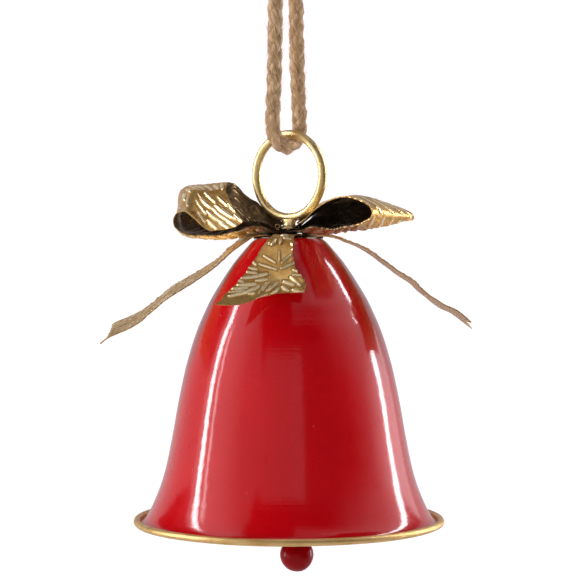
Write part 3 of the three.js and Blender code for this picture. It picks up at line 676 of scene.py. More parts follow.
def foil(name, rows, ns, nv, pattern, body, nodes, thick=0.30, flip=False, coords=None, holes=None, edge=0.05, seed=1, wrinkle=0.12,
         extra=None, material=None, crease_rows=(), crease_col=None, col_strength=None, rough_edge=None, press=1.0, shade_to=0.0, back=1.0, under_shade=None):
    """A thin metal strip through rows of control points, pressed with a pattern on its outer side.
    Rows run along the strip; each row holds the same number of points across it. The strip's near end, a stretch of its
    lower run and its back face can be marked for painted shade."""
    rows = np.asarray(rows, float)
    m = rows.shape[1]
    fine = np.linspace(0, len(rows) - 1, ns * 3)

    def along(t):
        smooth_ = catmull(rows, t)
        w = np.zeros_like(t)
        for k in crease_rows:
            w = np.maximum(w, np.clip(1.0 - np.abs(t - k), 0, 1) ** 0.5)
        i = np.clip(np.floor(t).astype(int), 0, len(rows) - 2)
        f = (t - i)[:, None, None]
        straight = rows[i] * (1 - f) + rows[i + 1] * f
        w = w[:, None, None]
        return straight * w + smooth_ * (1 - w)

    across = along(fine)
    # even out the rows along the strip
    acc = np.zeros(len(fine))
    for k, share in ((0, 0.25), (m // 2, 0.5), (m - 1, 0.25)):
        acc[1:] += share * np.cumsum(np.linalg.norm(np.diff(across[:, k], axis=0), axis=1))
    te = np.interp(np.linspace(0, acc[-1], ns), acc, fine)
    across = along(te)
    s1 = np.linspace(0, acc[-1], ns)
    u = np.linspace(0, m - 1, nv)
    ragged = np.zeros(ns) if rough_edge is None else rough_edge(s1)
    lo = edge * (0.5 + 0.5 * np.abs(np.sin(np.pi * s1 / 2.7 + seed))) + 0.5 * edge * (1 + noise1(s1 / 3.1, seed)) + ragged * (0.5 + 0.5 * noise1(s1 / 1.9, seed + 2))
    hi = edge * (0.5 + 0.5 * np.abs(np.sin(np.pi * s1 / 2.7 + seed + 1.3))) + 0.5 * edge * (1 + noise1(s1 / 3.1, seed + 5)) + 0.5 * ragged * (0.5 + 0.5 * noise1(s1 / 2.3, seed + 7))
    uu = lo[:, None] * (m - 1) / 2 + u[None, :] / (m - 1) * ((m - 1) - (lo + hi)[:, None] * (m - 1) / 2)
    cols = np.swapaxes(across, 0, 1)                                # m, ns, 3
    i = np.clip(np.floor(uu).astype(int), 0, m - 2)
    f = (uu - i)[..., None]
    idx = np.arange(ns)[:, None]
    pa, pb, pc, pd = cols[np.maximum(i - 1, 0), idx], cols[i, idx], cols[i + 1, idx], cols[np.minimum(i + 2, m - 1), idx]
    grid = 0.5 * (2 * pb + (pc - pa) * f + (2 * pa - 5 * pb + 4 * pc - pd) * f ** 2 + (3 * pb - pa - 3 * pc + pd) * f ** 3)
    if crease_col is not None:
        strength = np.interp(te, np.arange(len(rows)), col_strength)
        w = (np.clip(1.0 - np.abs(uu - crease_col), 0, 1) ** 0.5 * strength[:, None])[..., None]
        grid = grid * (1 - w) + (pb * (1 - f) + pc * f) * w
    for _ in range(2):
        grid[1:-1] = 0.25 * grid[:-2] + 0.5 * grid[1:-1] + 0.25 * grid[2:]
        grid[:, 1:-1] = 0.25 * grid[:, :-2] + 0.5 * grid[:, 1:-1] + 0.25 * grid[:, 2:]
    width = np.concatenate([np.zeros((ns, 1)), np.cumsum(np.linalg.norm(np.diff(grid, axis=1), axis=2), axis=1)], axis=1)
    vv = width - width[:, -1:] / 2
    ss = np.broadcast_to(s1[:, None], vv.shape)
    if coords is not None:
        ss, vv = coords(grid, ss, vv)
    du = np.gradient(grid, axis=0)
    dv = np.gradient(grid, axis=1)
    nrm = np.cross(du, dv)
    nrm /= np.maximum(np.linalg.norm(nrm, axis=2), 1e-9)[..., None]
    if flip:
        nrm = -nrm
    strokes = pattern(s1[-1]) if callable(pattern) else pattern
    h = stroke_height(ss.copy(), vv.copy(), strokes) * press
    # the strip is hand bent: shallow wrinkles through both faces
    wr = wrinkle * (noise2(ss / 6.0 + seed, vv / 5.0 + 3, seed) + 0.5 * noise2(ss / 2.6, vv / 2.2, seed + 1))
    if extra is not None:
        wr = wr + extra(ss, vv)
    edge_d = np.minimum(width, width[:, -1:] - width)
    burr = 0.14 * np.exp(-(edge_d / 0.45) ** 2)
    mid_surface = grid + nrm * wr[..., None]
    outer_ = mid_surface + nrm * (thick / 2 + h + burr)[..., None]
    inner_ = mid_surface + nrm * (-thick / 2 + 0.25 * h)[..., None]
    top, bot = outer_.reshape(-1, 3), inner_.reshape(-1, 3)
    n = ns * nv
    faces_top = grid_faces(ns, nv)
    keep = np.ones(len(faces_top), bool)
    if holes is not None:
        c = grid.reshape(-1, 3)[faces_top].mean(1)
        keep = ~holes(c)
    ft = faces_top[keep]
    fb = ft[:, ::-1] + n
    e = np.concatenate([ft[:, [0, 1]], ft[:, [1, 2]], ft[:, [2, 3]], ft[:, [3, 0]]])
    key = np.sort(e, 1)
    _, inv, cnt = np.unique(key[:, 0] * (n + 1) + key[:, 1], return_inverse=True, return_counts=True)
    border = e[cnt[inv] == 1]
    fr_ = np.stack([border[:, 1], border[:, 0], border[:, 0] + n, border[:, 1] + n], 1)
    verts = np.vstack([top, bot])
    used = np.unique(np.concatenate([ft.ravel(), fb.ravel()]))
    remap = np.full(2 * n, -1)
    remap[used] = np.arange(len(used))
    verts = verts[used]
    fs = [remap[x] for x in (ft, fb, fr_)]
    # u marks painted shade (the strip's back face, the left loop's near end and the lower runs), v how high a vertex is
    # pressed, which carries the painted ridge highlight
    front = np.broadcast_to(np.clip((shade_to - te) * 4.0 + 0.5, 0, 1)[:, None] * (shade_to > 0), vv.shape)
    if under_shade is not None:
        low = np.clip((te - under_shade[0]) * 1.2, 0, 1) * np.clip((under_shade[1] - te) * 1.2, 0, 1)
        front = np.maximum(front, 0.5 * low[:, None] * np.ones_like(vv))
    uv = np.stack([np.concatenate([front.ravel(), np.full(n, back)]), np.concatenate([(h / 0.45).ravel(), np.zeros(n)])], 1)[used]
    vol = 0.0
    for x in fs:
        p = verts[x[:, 0]]
        for k in (1, 2):
            vol += np.einsum("ij,ij->i", p, np.cross(verts[x[:, k]], verts[x[:, k + 1]])).sum()
    if vol < 0:
        fs = [x[:, ::-1] for x in fs]
    return finish_piece(name, verts, fs, material or MAT_BOW, body, nodes, uv, smooth=[True, True, False])


def bolt_hole(c):
    return np.hypot(c[:, 0], c[:, 1]) < 1.6


BOW_TURN = math.radians(35)
BX, BY = math.cos(BOW_TURN), -math.sin(BOW_TURN)


def bow(u, h, z):
    return [BX * u - BY * h, BY * u + BX * h, z]


RL, LL, FT, ST = 104.1, 103.4, 102.7, 102.0
right_rows = [
    [(4.2, -4.5, 105.2), (3.8, -1.5, 105.1), (2.6, 3.4, 105.7), (-1.0, 6.0, 106.8)],
    [(8, -6.5, 105.9), (7.6, -2.0, 107.0), (6.8, 3.6, 109.4), (5.5, 8.6, 112.8)],
    [(13, -9, 107.8), (12.4, -3.0, 109.8), (11.4, 4.6, 112.2), (10, 11.0, 115.2)],
    [(17.4, -10.5, 110.8), (17.2, -3.5, 112.6), (16.6, 4.6, 114.2), (15.5, 12.2, 116.1)],
    [(24.8, -12.5, 114.2), (24.4, -4.5, 115.2), (23.4, 4.6, 115.9), (21.5, 12.8, 116.4)],
    [(33.2, -13.5, 115.6), (32.9, -5.0, 115.9), (32.0, 4.6, 115.3), (30.6, 12.8, 114.0)],
    [(39.6, -13.5, 113.9), (39.4, -5.0, 113.6), (39.0, 5.0, 112.8), (38.5, 13.2, 111.9)],
    [(42.8, -13.4, 111.5), (43.1, -5.0, 110.9), (43.3, 5.0, 110.2), (43.4, 13.4, 109.6)],
    [(42.6, -13.3, 109.0), (42.9, -5.0, 108.4), (43.0, 5.0, 108.2), (43.0, 13.8, 107.9)],
    [(40, -13.2, 107.5), (40.2, -5.0, 106.0), (40.2, 5.0, 106.4), (40.2, 14.4, 108.6)],
    [(36, -13, 106.2), (36, -5.0, 104.9), (35.8, 5.4, 106.4), (35.5, 15.0, 112.6)],
    [(31, -12.8, 105.6), (30.9, -5.0, 104.4), (30.8, 5.4, 107.0), (30.6, 15.2, 114.6)],
    [(26, -12, 104.9), (25.4, -4.5, 103.8), (24.8, 5.0, 107.8), (23.6, 15.0, 116.4)],
    [(19, -10, 105.6), (18.4, -3.4, 102.9), (17.6, 4.8, 107.6), (16.2, 14.2, 116.2)],
    [(15, -8.8, 106.0), (14.6, -2.8, 102.9), (14.2, 4.4, 107.2), (13.0, 13.4, 115.6)],
    [(12, -7.5, 105.3), (11.6, -2.4, 103.1), (11.2, 4.0, 106.9), (10.0, 12.4, 115.2)],
    [(8.4, -6.0, 104.4), (8.2, -1.8, 103.6), (7.8, 3.4, 106.2), (6.6, 10.6, 113.4)],
    [(5, -4.6, RL), (5, -1.5, RL), (5, 1.8, 104.3), (4.2, 7.6, 108.6)],
    [(0, -4.0, RL), (0, -1.3, RL), (0, 1.3, RL), (0, 4.0, RL)],
    [(-3.4, -3.4, RL), (-3.4, -1.1, RL), (-3.4, 1.1, RL), (-3.4, 3.4, RL)],
]
right_rows = [[bow(*p) for p in r] for r in right_rows]


def leaf_pattern(s0, s1, seed, pitch=2.5, slant=4.6, rows_v=((-11.5, -4.4), (-3.0, 3.4), (4.6, 11.0)), wide=0.86, up=0.46):
    """Pressed leaves in slanted rows, a vein between them."""
    r = np.random.default_rng(seed)
    out = []
    for j, (v0, v1) in enumerate(rows_v):
        s = s0 + 0.9 * j
        while s < s1:
            a = r.uniform(-0.5, 0.5)
            k = slant * r.uniform(0.85, 1.15)
            out.append((s, v0 + a, s + k, v1 + a * 0.5, wide * r.uniform(0.85, 1.15), up * r.uniform(0.8, 1.1)))
            s += pitch * r.uniform(0.9, 1.12)
    return out


RIGHT_STROKES = [
    (36.3, -7.3, 45.9, -7.8, 1.5, 0.26), (37.6, -3.4, 45.5, -0.4, 1.5, 0.26), (38.2, 1.6, 45.5, 6.7, 1.4, 0.26), (39.0, 6.4, 45.4, 11.0, 1.2, 0.25),
    (35.0, -11.4, 43.4, -12.0, 1.1, 0.22), (31.0, -2.4, 36.0, -0.8, 1.1, 0.21), (31.6, 3.4, 36.6, 6.0, 1.2, 0.21), (29.0, -7.4, 34.2, -7.2, 1.1, 0.21), (32.4, 9.2, 37.4, 11.6, 1.0, 0.20),
    (48.6, -11.0, 53.6, -8.6, 1.1, 0.24), (48.6, -5.4, 53.8, -3.0, 1.1, 0.24), (48.6, 0.2, 53.8, 2.6, 1.1, 0.24), (48.8, 5.8, 53.8, 8.4, 1.1, 0.24), (47.0, 10.6, 52.0, 12.4, 1.0, 0.21),
]
# the right loop's lower run is marked for painted shade
bow_right = foil("embossed_bow_loop_right", right_rows, 460, 110,
                 lambda L: RIGHT_STROKES + leaf_pattern(6.0, 27.0, 22, 4.4, 5.6, ((-10.0, -6.6), (-4.2, -0.8), (1.6, 5.0), (7.2, 10.4)), 1.1, 0.36) + leaf_pattern(56.0, 92.0, 23, 4.2, 5.2, ((-12.6, -9.0), (-6.6, -3.0), (-0.8, 2.8), (5.2, 8.8)), 1.1, 0.46),
                 "bell", ["bow_loop_right"], flip=False, holes=bolt_hole, seed=3, wrinkle=0.10, under_shade=(9.2, 17.0), rough_edge=lambda s: 0.16 * np.clip((16 - s) / 16, 0, 1) + 0.14 * np.clip((s - 78) / 12, 0, 1))

# the left loop is creased: once along its top, once across it near the middle, once at its outer corner
left_rows = [
    [(-5.0, -4.6, 104.9), (-4.3, -2.0, 105.0), (-3.3, 1.6, 105.7), (-1.4, 4.2, 106.8)],
    [(-7.4, -4.6, 106.3), (-6.8, -1.6, 106.5), (-6.2, 2.4, 107.5), (-5.6, 6.8, 109.5)],
    [(-10.2, -4.6, 107.3), (-9.6, -1.2, 107.8), (-8.9, 3.2, 109.3), (-8.2, 8.8, 111.7)],
    [(-12.9, -4.4, 107.3), (-12.6, -0.9, 108.9), (-12.2, 2.8, 111.2), (-11.6, 6.4, 114.0)],
    [(-14.2, -4.2, 106.6), (-15.0, -0.6, 109.6), (-15.5, 3.2, 113.2), (-15.8, 7.0, 117.3)],
    [(-15.2, -4.4, 106.8), (-17.2, -0.2, 110.6), (-18.7, 5.0, 115.8), (-19.7, 9.6, 121.4)],
    [(-15.8, -4.8, 106.9), (-20.2, 1.6, 111.8), (-23.9, 10.4, 118.8), (-22.9, 16.4, 121.6)],
    [(-18.2, -4.8, 105.1), (-22.8, 1.6, 110.9), (-26.4, 11.0, 118.3), (-25.9, 20.4, 121.3)],
    [(-22.0, -3.6, 104.2), (-25.8, 2.4, 110.4), (-28.9, 11.8, 118.0), (-28.8, 22.4, 121.0)],
    [(-25.8, -2.4, 103.8), (-28.8, 3.4, 110.5), (-31.4, 13.0, 118.4), (-31.9, 24.2, 120.8)],
    [(-29.2, -1.2, 104.2), (-31.0, 4.2, 111.0), (-33.0, 13.8, 118.6), (-34.6, 25.4, 120.6)],
    [(-33.4, 0.0, 107.8), (-33.8, 5.4, 112.3), (-34.2, 14.0, 118.6), (-36.4, 26.6, 120.4)],
    [(-37.0, 0.8, 110.8), (-36.2, 6.6, 113.0), (-35.6, 14.8, 118.4), (-38.0, 27.0, 120.0)],
    [(-39.4, 2.0, 110.4), (-38.6, 9.2, 112.2), (-38.2, 17.6, 116.6), (-39.6, 27.8, 118.8)],
    [(-40.7, 3.2, 109.2), (-40.2, 11.0, 110.4), (-39.8, 19.2, 113.2), (-40.4, 28.6, 116.6)],
    [(-41.2, 4.0, 107.3), (-41.0, 11.8, 107.4), (-40.8, 20.0, 109.6), (-40.6, 29.2, 114.0)],
    [(-40.2, 4.0, 105.0), (-40.1, 11.4, 104.4), (-40.0, 19.6, 106.8), (-39.6, 29.2, 112.4)],
    [(-36.2, 2.5, 102.8), (-36.5, 10.0, 102.2), (-36.9, 18.5, 105.2), (-37.2, 28.0, 111.8)],
    [(-29.6, 0.0, 102.5), (-30.0, 7.5, 101.4), (-30.5, 15.4, 104.6), (-30.9, 25.0, 112.0)],
    [(-23.5, -2.0, 102.8), (-23.7, 4.6, 101.2), (-24.0, 12.0, 104.4), (-24.4, 21.0, 112.6)],
    [(-18.5, -3.8, 104.3), (-18.2, 1.2, 101.9), (-18.0, 7.6, 104.6), (-18.0, 15.6, 112.6)],
    [(-15.0, -5.0, 105.4), (-14.8, 0.0, 102.9), (-14.6, 5.8, 104.9), (-14.6, 12.0, 111.0)],
    [(-12.0, -5.4, 106.1), (-11.8, -0.8, 103.1), (-11.4, 4.8, 105.2), (-11.2, 9.8, 110.2)],
    [(-8.0, -5.2, 105.2), (-7.6, -1.0, LL), (-7.1, 3.4, 104.6), (-6.8, 7.6, 108.0)],
    [(-4.4, -4.6, 103.6), (-4.2, -1.4, LL), (-4.2, 1.9, LL), (-4.3, 5.2, 104.6)],
    [(0.0, -4.0, LL), (0.0, -1.3, LL), (0.0, 1.3, LL), (0.0, 4.0, LL)],
    [(3.4, -3.4, LL), (3.4, -1.1, LL), (3.4, 1.1, LL), (3.4, 3.4, LL)],
]
crease_strength = [0, 0, 0, 0, 0, 0.5, 1, 1, 1, 1, 1, 1, 1, 0.5] + [0] * (len(left_rows) - 14)
LEFT_STROKES = [
    (37.6, 2.0, 34.6, -1.2, 1.0, 0.42), (36.6, -0.6, 31.4, -5.8, 1.3, 0.52), (33.6, 4.6, 30.3, -1.0, 1.0, 0.42), (30.6, -2.7, 27.1, -10.3, 1.2, 0.52), (35.0, -6.9, 31.2, -12.4, 1.3, 0.52),
    (32.4, -4.6, 29.2, -11.6, 1.0, 0.42), (28.6, -4.5, 26.5, -11.3, 1.0, 0.46), (35.9, -11.5, 34.2, -15.1, 1.1, 0.46), (32.0, -11.6, 30.6, -15.4, 1.0, 0.40), (29.2, -11.8, 28.0, -15.6, 1.1, 0.46),
    (38.9, -3.4, 35.9, -8.4, 1.1, 0.46), (28.4, 2.6, 26.2, -3.2, 0.9, 0.42), (25.4, -1.4, 24.6, -6.8, 0.8, 0.40), (25.8, -8.6, 25.2, -13.6, 0.9, 0.42), (38.6, -9.6, 37.4, -13.0, 0.9, 0.40),
    (41.0, 10.4, 37.8, 5.4, 1.1, 0.46), (37.4, 12.4, 33.9, 7.2, 1.2, 0.48), (33.2, 12.6, 30.2, 7.4, 1.2, 0.48), (29.4, 12.6, 27.2, 7.6, 1.1, 0.44), (26.2, 12.4, 25.0, 7.4, 0.9, 0.40),
    (43.4, 7.6, 42.4, 1.6, 1.0, 0.40), (45.6, 4.4, 44.6, -1.8, 1.0, 0.40), (43.2, -2.6, 42.4, -8.0, 0.9, 0.40), (47.0, -4.0, 46.0, -9.4, 0.9, 0.36),
]
# the left loop's near end and lower run are marked for painted shade
bow_left = foil("embossed_bow_loop_left", left_rows, 480, 120,
                lambda L: LEFT_STROKES + leaf_pattern(3.0, 18.0, 32, 3.6, 4.0, ((-6.0, -2.6), (-0.6, 2.8), (4.6, 7.6)), 0.8, 0.30) + leaf_pattern(56.0, 98.0, 33, 3.9, 5.0, ((-12.0, -8.6), (-6.4, -3.0), (-0.8, 2.6), (4.8, 8.4)), 1.1, 0.50),
                "bell", ["bow_loop_left"], flip=True, holes=bolt_hole, seed=8, crease_rows=(6, 12), crease_col=2, col_strength=crease_strength, wrinkle=0.10,
                rough_edge=lambda s: 0.20 * np.clip((26 - s) / 20, 0, 1), shade_to=5.75, under_shade=(19.5, 24.5))

tail_left = [[66.2, 66.4, 12.4], [62.7, 68.9, 12.6], [53.9, 72.8, 12.0], [48.9, 76.6, 11.4], [41.2, 82.8, 10.4], [35.8, 85.9, 9.6], [30.4, 89.3, 8.8], [25.0, 93.2, 7.8],
             [20.5, 97.4, 6.6], [14.7, 101.2, 5.0], [11.2, ST, 4.2], [5.0, ST, 4.0]]
tail_right = [[5.0, ST, 4.0], [11.9, 102.0, 4.4], [16.5, 101.5, 5.4], [20.0, 100.2, 6.4], [25.6, 98.2, 7.8], [29.9, 95.4, 8.8], [36.4, 90.5, 9.8], [43.3, 85.9, 10.8],
              [47.3, 82.2, 11.4], [53.8, 77.5, 12.0], [58.9, 75.0, 12.6], [66.1, 69.4, 12.4]]
tails = [[[-x, -w, z - (x > 12) * 0.16 * w], [3.4 - x if x > 65 else -x, 0, z + 1.8 if x > 65 else z + (0.3 if 8 < x < 12 else 0)], [-x + (2.4 if x > 65 else 0), w, z + (x > 12) * 0.16 * w + (0.8 if x > 65 else 1.1 if 8 < x < 12 else 0.9 if 12 < x < 15 else 0.3 if 15 < x < 21 else 0)]] for x, z, w in tail_left]
tails += [[[0, -4, ST], [0, 0, ST], [0, 4, ST]]]
tails += [[[x - (2.4 if x > 65 else 0), -w, z + (x > 12) * 0.08 * w + (1.6 if x > 65 else 0)], [x - 3.4 if x > 65 else x, 0, z + 2.5 if x > 65 else z + (0.3 if 8 < x < 12 else 0)], [x, w, z - (x > 12) * 0.08 * w + (1.1 if 8 < x < 12 else 1.0 if 12 < x < 18 else 0.5 if 18 < x < 22 else 0)]] for x, z, w in tail_right]
# the side tails' back face carries no painted shade
side_tails = foil("embossed_side_tails", tails, 560, 90, lambda L: strip_pattern(L, 13, spacing=24.5, start=10.0, half=11.0), "bell", ["side_tails"], flip=False, holes=bolt_hole, seed=4, wrinkle=0.20, press=0.6, back=0.0)

front = [
    [[-26.6, -32.3, 79.2], [-17.6, -31.5, 78.9], [-9.2, -30.2, 81.5], [-2.9, -29.9, 82.9], [6.4, -30.0, 83.0]],
    [[-21.6, -29.8, 83.8], [-14.2, -29.1, 84.0], [-7.4, -28.3, 85.2], [-1.2, -28.1, 86.2], [6.8, -28.1, 86.0]],
    [[-15.5, -24.6, 89.8], [-10.8, -24.4, 90.0], [-6.2, -24.3, 90.2], [-1.5, -24.3, 90.3], [3.4, -24.4, 90.2]],
    [[-11.9, -20.0, 94.7], [-8.5, -19.9, 94.9], [-5.1, -19.8, 95.1], [-1.8, -19.8, 95.2], [1.7, -19.8, 95.2]],
    [[-8.9, -14.8, 99.3], [-6.2, -14.8, 99.6], [-3.6, -14.8, 99.9], [-0.9, -14.8, 99.9], [1.9, -14.8, 99.7]],
    [[-6.0, -9.4, 102.3], [-4.0, -9.4, 102.4], [-1.9, -9.4, 102.5], [0.2, -9.4, 102.5], [2.3, -9.4, 102.4]],
    [[-4.0, -4.5, FT], [-2.0, -4.5, FT], [0, -4.5, FT], [2.0, -4.5, FT], [4.0, -4.5, FT]],
]
middle = [[-4, 0, FT], [-2, 0, FT], [0, 0, FT], [2, 0, FT], [4, 0, FT]]
back = [[[-x, -y, z] for x, y, z in reversed(r)] for r in reversed(front)]


def tail_coords(grid, ss, vv):
    """The pressed star is laid out on the tail's face: across it, and down it from the bolt."""
    y = grid[..., 1]
    s = np.interp(np.abs(y), [0, 9.4, 14.8, 19.8, 24.3, 28.0, 29.6, 31.5], [0, 9.4, 15.6, 22.4, 29.1, 34.5, 37.4, 42.5])
    s = s + np.clip((84.0 - grid[..., 2]), 0, 9) * 0.4
    return s, np.where(y < 0, grid[..., 0], -grid[..., 0])


TAIL_STROKES = [
    (22.09, -8.68, 25.51, -4.61, 0.50, 0.42), (26.02, -10.25, 28.62, -4.24, 0.50, 0.42), (19.84, -3.31, 24.44, -3.31, 0.42, 0.30), (21.94, 0.21, 25.61, -2.39, 0.50, 0.36), (25.40, 2.22, 28.06, -2.60, 0.55, 0.42),
    (34.07, -1.61, 35.40, 1.50, 0.80, 0.45), (32.14, 0.65, 35.50, 3.69, 0.70, 0.45), (36.11, -2.15, 37.39, -0.31, 0.80, 0.42), (37.24, 1.50, 38.56, 4.20, 1.00, 0.48),
    (34.18, -3.79, 36.62, -7.55, 0.75, 0.45), (36.52, -3.72, 38.20, -5.57, 0.80, 0.45), (38.77, -7.62, 40.70, -10.76, 0.80, 0.45), (33.41, -6.83, 36.42, -8.88, 0.45, 0.30), (33.67, -7.86, 37.70, -10.25, 0.45, 0.30),
    (37.85, -11.93, 38.46, -13.50, 0.80, 0.40), (30.30, -7.62, 32.24, -16.26, 0.75, 0.46), (32.44, -7.55, 32.85, -11.11, 0.60, 0.38), (34.18, -11.31, 34.99, -17.32, 0.80, 0.46), (34.94, -10.25, 41.11, -20.33, 0.85, 0.50),
    (29.38, -15.27, 29.89, -11.11, 0.60, 0.40), (27.55, -13.84, 28.46, -10.90, 0.60, 0.38), (24.69, -12.71, 26.42, -11.24, 0.65, 0.36), (36.83, -19.14, 35.71, -14.18, 0.70, 0.40), (38.87, -20.33, 36.83, -15.21, 0.60, 0.36),
    (33.16, -17.09, 33.56, -15.55, 0.60, 0.30), (28.72, 1.40, 29.59, 3.18, 0.55, 0.36), (31.01, 1.54, 31.12, 4.00, 0.55, 0.36), (38.97, -1.71, 39.38, 1.03, 0.60, 0.30),
    (10.41, -2.39, 11.12, -0.44, 1.00, 0.42), (13.78, -4.68, 16.63, -5.84, 0.85, 0.46), (13.67, -2.94, 16.22, -3.01, 0.70, 0.44), (15.51, -7.00, 16.02, -6.56, 0.70, 0.40), (12.96, -1.54, 13.47, 0.51, 0.60, 0.36),
    (16.27, 0.68, 17.80, 1.88, 0.55, 0.40), (19.08, 1.03, 19.84, 2.05, 0.50, 0.30), (35.20, -9.06, 34.18, -7.69, 0.40, 0.25),
]
# the tails' back face carries less painted shade than the loops' backs
front_tail = foil("embossed_front_and_back_tails", front + [middle] + back, 460, 150, TAIL_STROKES, "bell", ["front_back_tails"], flip=True, coords=tail_coords, holes=bolt_hole, seed=6, edge=0.05, wrinkle=0.07, press=1.6, rough_edge=lambda s: 0.10 * np.ones_like(s), back=0.44)

# the strips' edges are crushed into folds behind the bolt, down on the crown, coloured near-black as painted shade in
# the gap over the crown
fold_parts = []
for side_, reach_, top_end, seed_ in ((-1, 12.6, 103.3, 21), (1, 12.2, 102.7, 22)):
    x_ = np.linspace(4.6, reach_, 90)
    y_ = 4.95 + 0.13 * (x_ - 5.0) + 0.30 * np.sin(x_ * 2.1 + seed_) * np.clip((x_ - 4.6) / 1.5, 0, 1)
    low_ = np.where(np.hypot(x_, y_) < 10.8, 101.56, np.interp(x_, [9.0, 11.0, 12.6, 14.4], [101.56, 101.45, 100.95, 98.9]))
    high_ = np.interp(x_, [4.6, 8.0, reach_], [104.0, 103.8, top_end]) + 0.22 * noise1(x_ * 1.7, seed_)
    h_ = np.linspace(0, 1, 8)
    z_ = low_[:, None] + (high_ - low_)[:, None] * h_
    lean = 0.25 * np.sin(h_ * 5.0)[None, :] * np.sin(x_ * 1.3 + seed_)[:, None]
    front_ = np.stack([np.broadcast_to(side_ * x_[:, None], z_.shape), y_[:, None] - 0.15 + lean, z_], -1)
    rear_ = front_ + [0, 0.3, 0]
    loop_ = np.concatenate([front_, rear_[:, ::-1]], 1)
    n_, m_ = loop_.shape[:2]
    v = np.vstack([loop_.reshape(-1, 3), loop_[0].mean(0), loop_[-1].mean(0)])
    k_ = np.arange(m_)
    e_ = (n_ - 1) * m_
    f = [grid_faces(n_, m_, wrap_cols=True), np.stack([np.full(m_, len(v) - 2), k_, (k_ + 1) % m_], 1), np.stack([np.full(m_, len(v) - 1), e_ + (k_ + 1) % m_, e_ + k_], 1)]
    fold_parts.append((v, f))
for x0_, x1_, z0_, z1_, y0_ in ((-4.8, -1.1, 105.6, 105.9, 2.0), (1.1, 4.4, 105.3, 105.9, 2.4)):
    x_ = np.linspace(x0_, x1_, 24)
    top_ = np.interp(x_, [x0_, x1_], [z0_, z1_])
    h_ = np.linspace(0, 1, 6)
    z_ = 104.15 + (top_ - 104.15)[:, None] * h_
    front_ = np.stack([np.broadcast_to(x_[:, None], z_.shape), y0_ + 0.2 * np.sin(x_ * 3.0)[:, None] + 0 * z_, z_], -1)
    loop_ = np.concatenate([front_, (front_ + [0, 0.3, 0])[:, ::-1]], 1)
    n_, m_ = loop_.shape[:2]
    v = np.vstack([loop_.reshape(-1, 3), loop_[0].mean(0), loop_[-1].mean(0)])
    k_ = np.arange(m_)
    e_ = (n_ - 1) * m_
    f = [grid_faces(n_, m_, wrap_cols=True), np.stack([np.full(m_, len(v) - 2), k_, (k_ + 1) % m_], 1), np.stack([np.full(m_, len(v) - 1), e_ + (k_ + 1) % m_, e_ + k_], 1)]
    fold_parts.append((v, f))
v, f = merged(fold_parts)
folds = finish_piece("bow_folds_painted_shade", v, f, MAT_FOLD_SHADE, "bell")

# two cut ends of the strips curl up beside the neck of the ring
curl_parts = []
for cx_, cy_, cz_, big_, turn_, hand_ in ((-4.0, -2.6, 105.55, 1.05, 3.6, 1), (3.0, -2.6, 105.25, 0.85, 2.2, -1)):
    th_ = np.linspace(0, 2.5 * np.pi, 90)
    r_ = big_ * (0.42 + 0.58 * th_ / th_[-1]) * (1 + 0.08 * np.sin(th_ * 2.3 + cx_))
    corners_ = []
    for dr_, w_ in ((0.1, -1.1), (0.1, 1.1), (-0.1, 1.1), (-0.1, -1.1)):
        q_ = hand_ * th_ + turn_
        corners_.append(np.stack([cx_ + (r_ + dr_) * np.cos(q_), cy_ + w_ + 0.25 * np.sin(th_), cz_ + (r_ + dr_) * np.sin(q_)], -1))
    loop_ = np.stack(corners_, 1)
    n_, m_ = loop_.shape[:2]
    v = np.vstack([loop_.reshape(-1, 3), loop_[0].mean(0), loop_[-1].mean(0)])
    k_ = np.arange(m_)
    e_ = (n_ - 1) * m_
    f = [grid_faces(n_, m_, wrap_cols=True), np.stack([np.full(m_, len(v) - 2), k_, (k_ + 1) % m_], 1), np.stack([np.full(m_, len(v) - 1), e_ + (k_ + 1) % m_, e_ + k_], 1)]
    curl_parts.append((v, f))
v, f = merged(curl_parts)
curls = finish_piece("curled_strip_ends", v, f, MAT_RIM, "bell", smooth=False)

# ------------------------------------------------------------------ bolt, washer, nut, link, rod and clapper
EYE_X, EYE_R, EYE_Z, BOLT_R = 2.8, 2.8, 93.0, 1.2
shank = [[0, 0, z] for z in np.linspace(105.9, EYE_Z + 0.4, 12)]
eye = [[EYE_X - EYE_R * math.cos(t), 0, EYE_Z - EYE_R * math.sin(t)] for t in np.linspace(0.15, 14 / 16 * 2 * np.pi, 36)]
bolt_line, bq = resample(np.array(shank + eye), 0.12)


def thread(i, th):
    z = bolt_line[i, 2]
    on = np.clip((z - 95.9) / 0.4, 0, 1) * (bq[i] < 11.0)
    return on * (0.10 * np.abs(np.sin(np.pi * z / 0.75 + th / 2)) - 0.08)


v, f = tube("", bolt_line, np.full(len(bolt_line), BOLT_R - 0.02), 28, radial=thread)
bolt = finish_piece("threaded_eye_bolt", v, outward(v, f), MAT_STEEL, "bell", ["eye_bolt"])


def ring_section(r_in, r_out, z0, z1, ease=0.12, segments=72):
    s = [(r_in, z0 + ease), (r_in + ease, z0), (r_out - ease, z0), (r_out, z0 + ease), (r_out, z1 - ease), (r_out - ease, z1), (r_in + ease, z1), (r_in, z1 - ease)]
    return lathe(s, segments)


v, f = ring_section(1.62, 5.5, 99.82, 100.58)
v[:, 2] += 0.02 * np.sin(3 * np.arctan2(v[:, 1], v[:, 0]))
washer = finish_piece("crown_washer", v, outward(v, f), MAT_STEEL, "bell", ["inner_washer"])

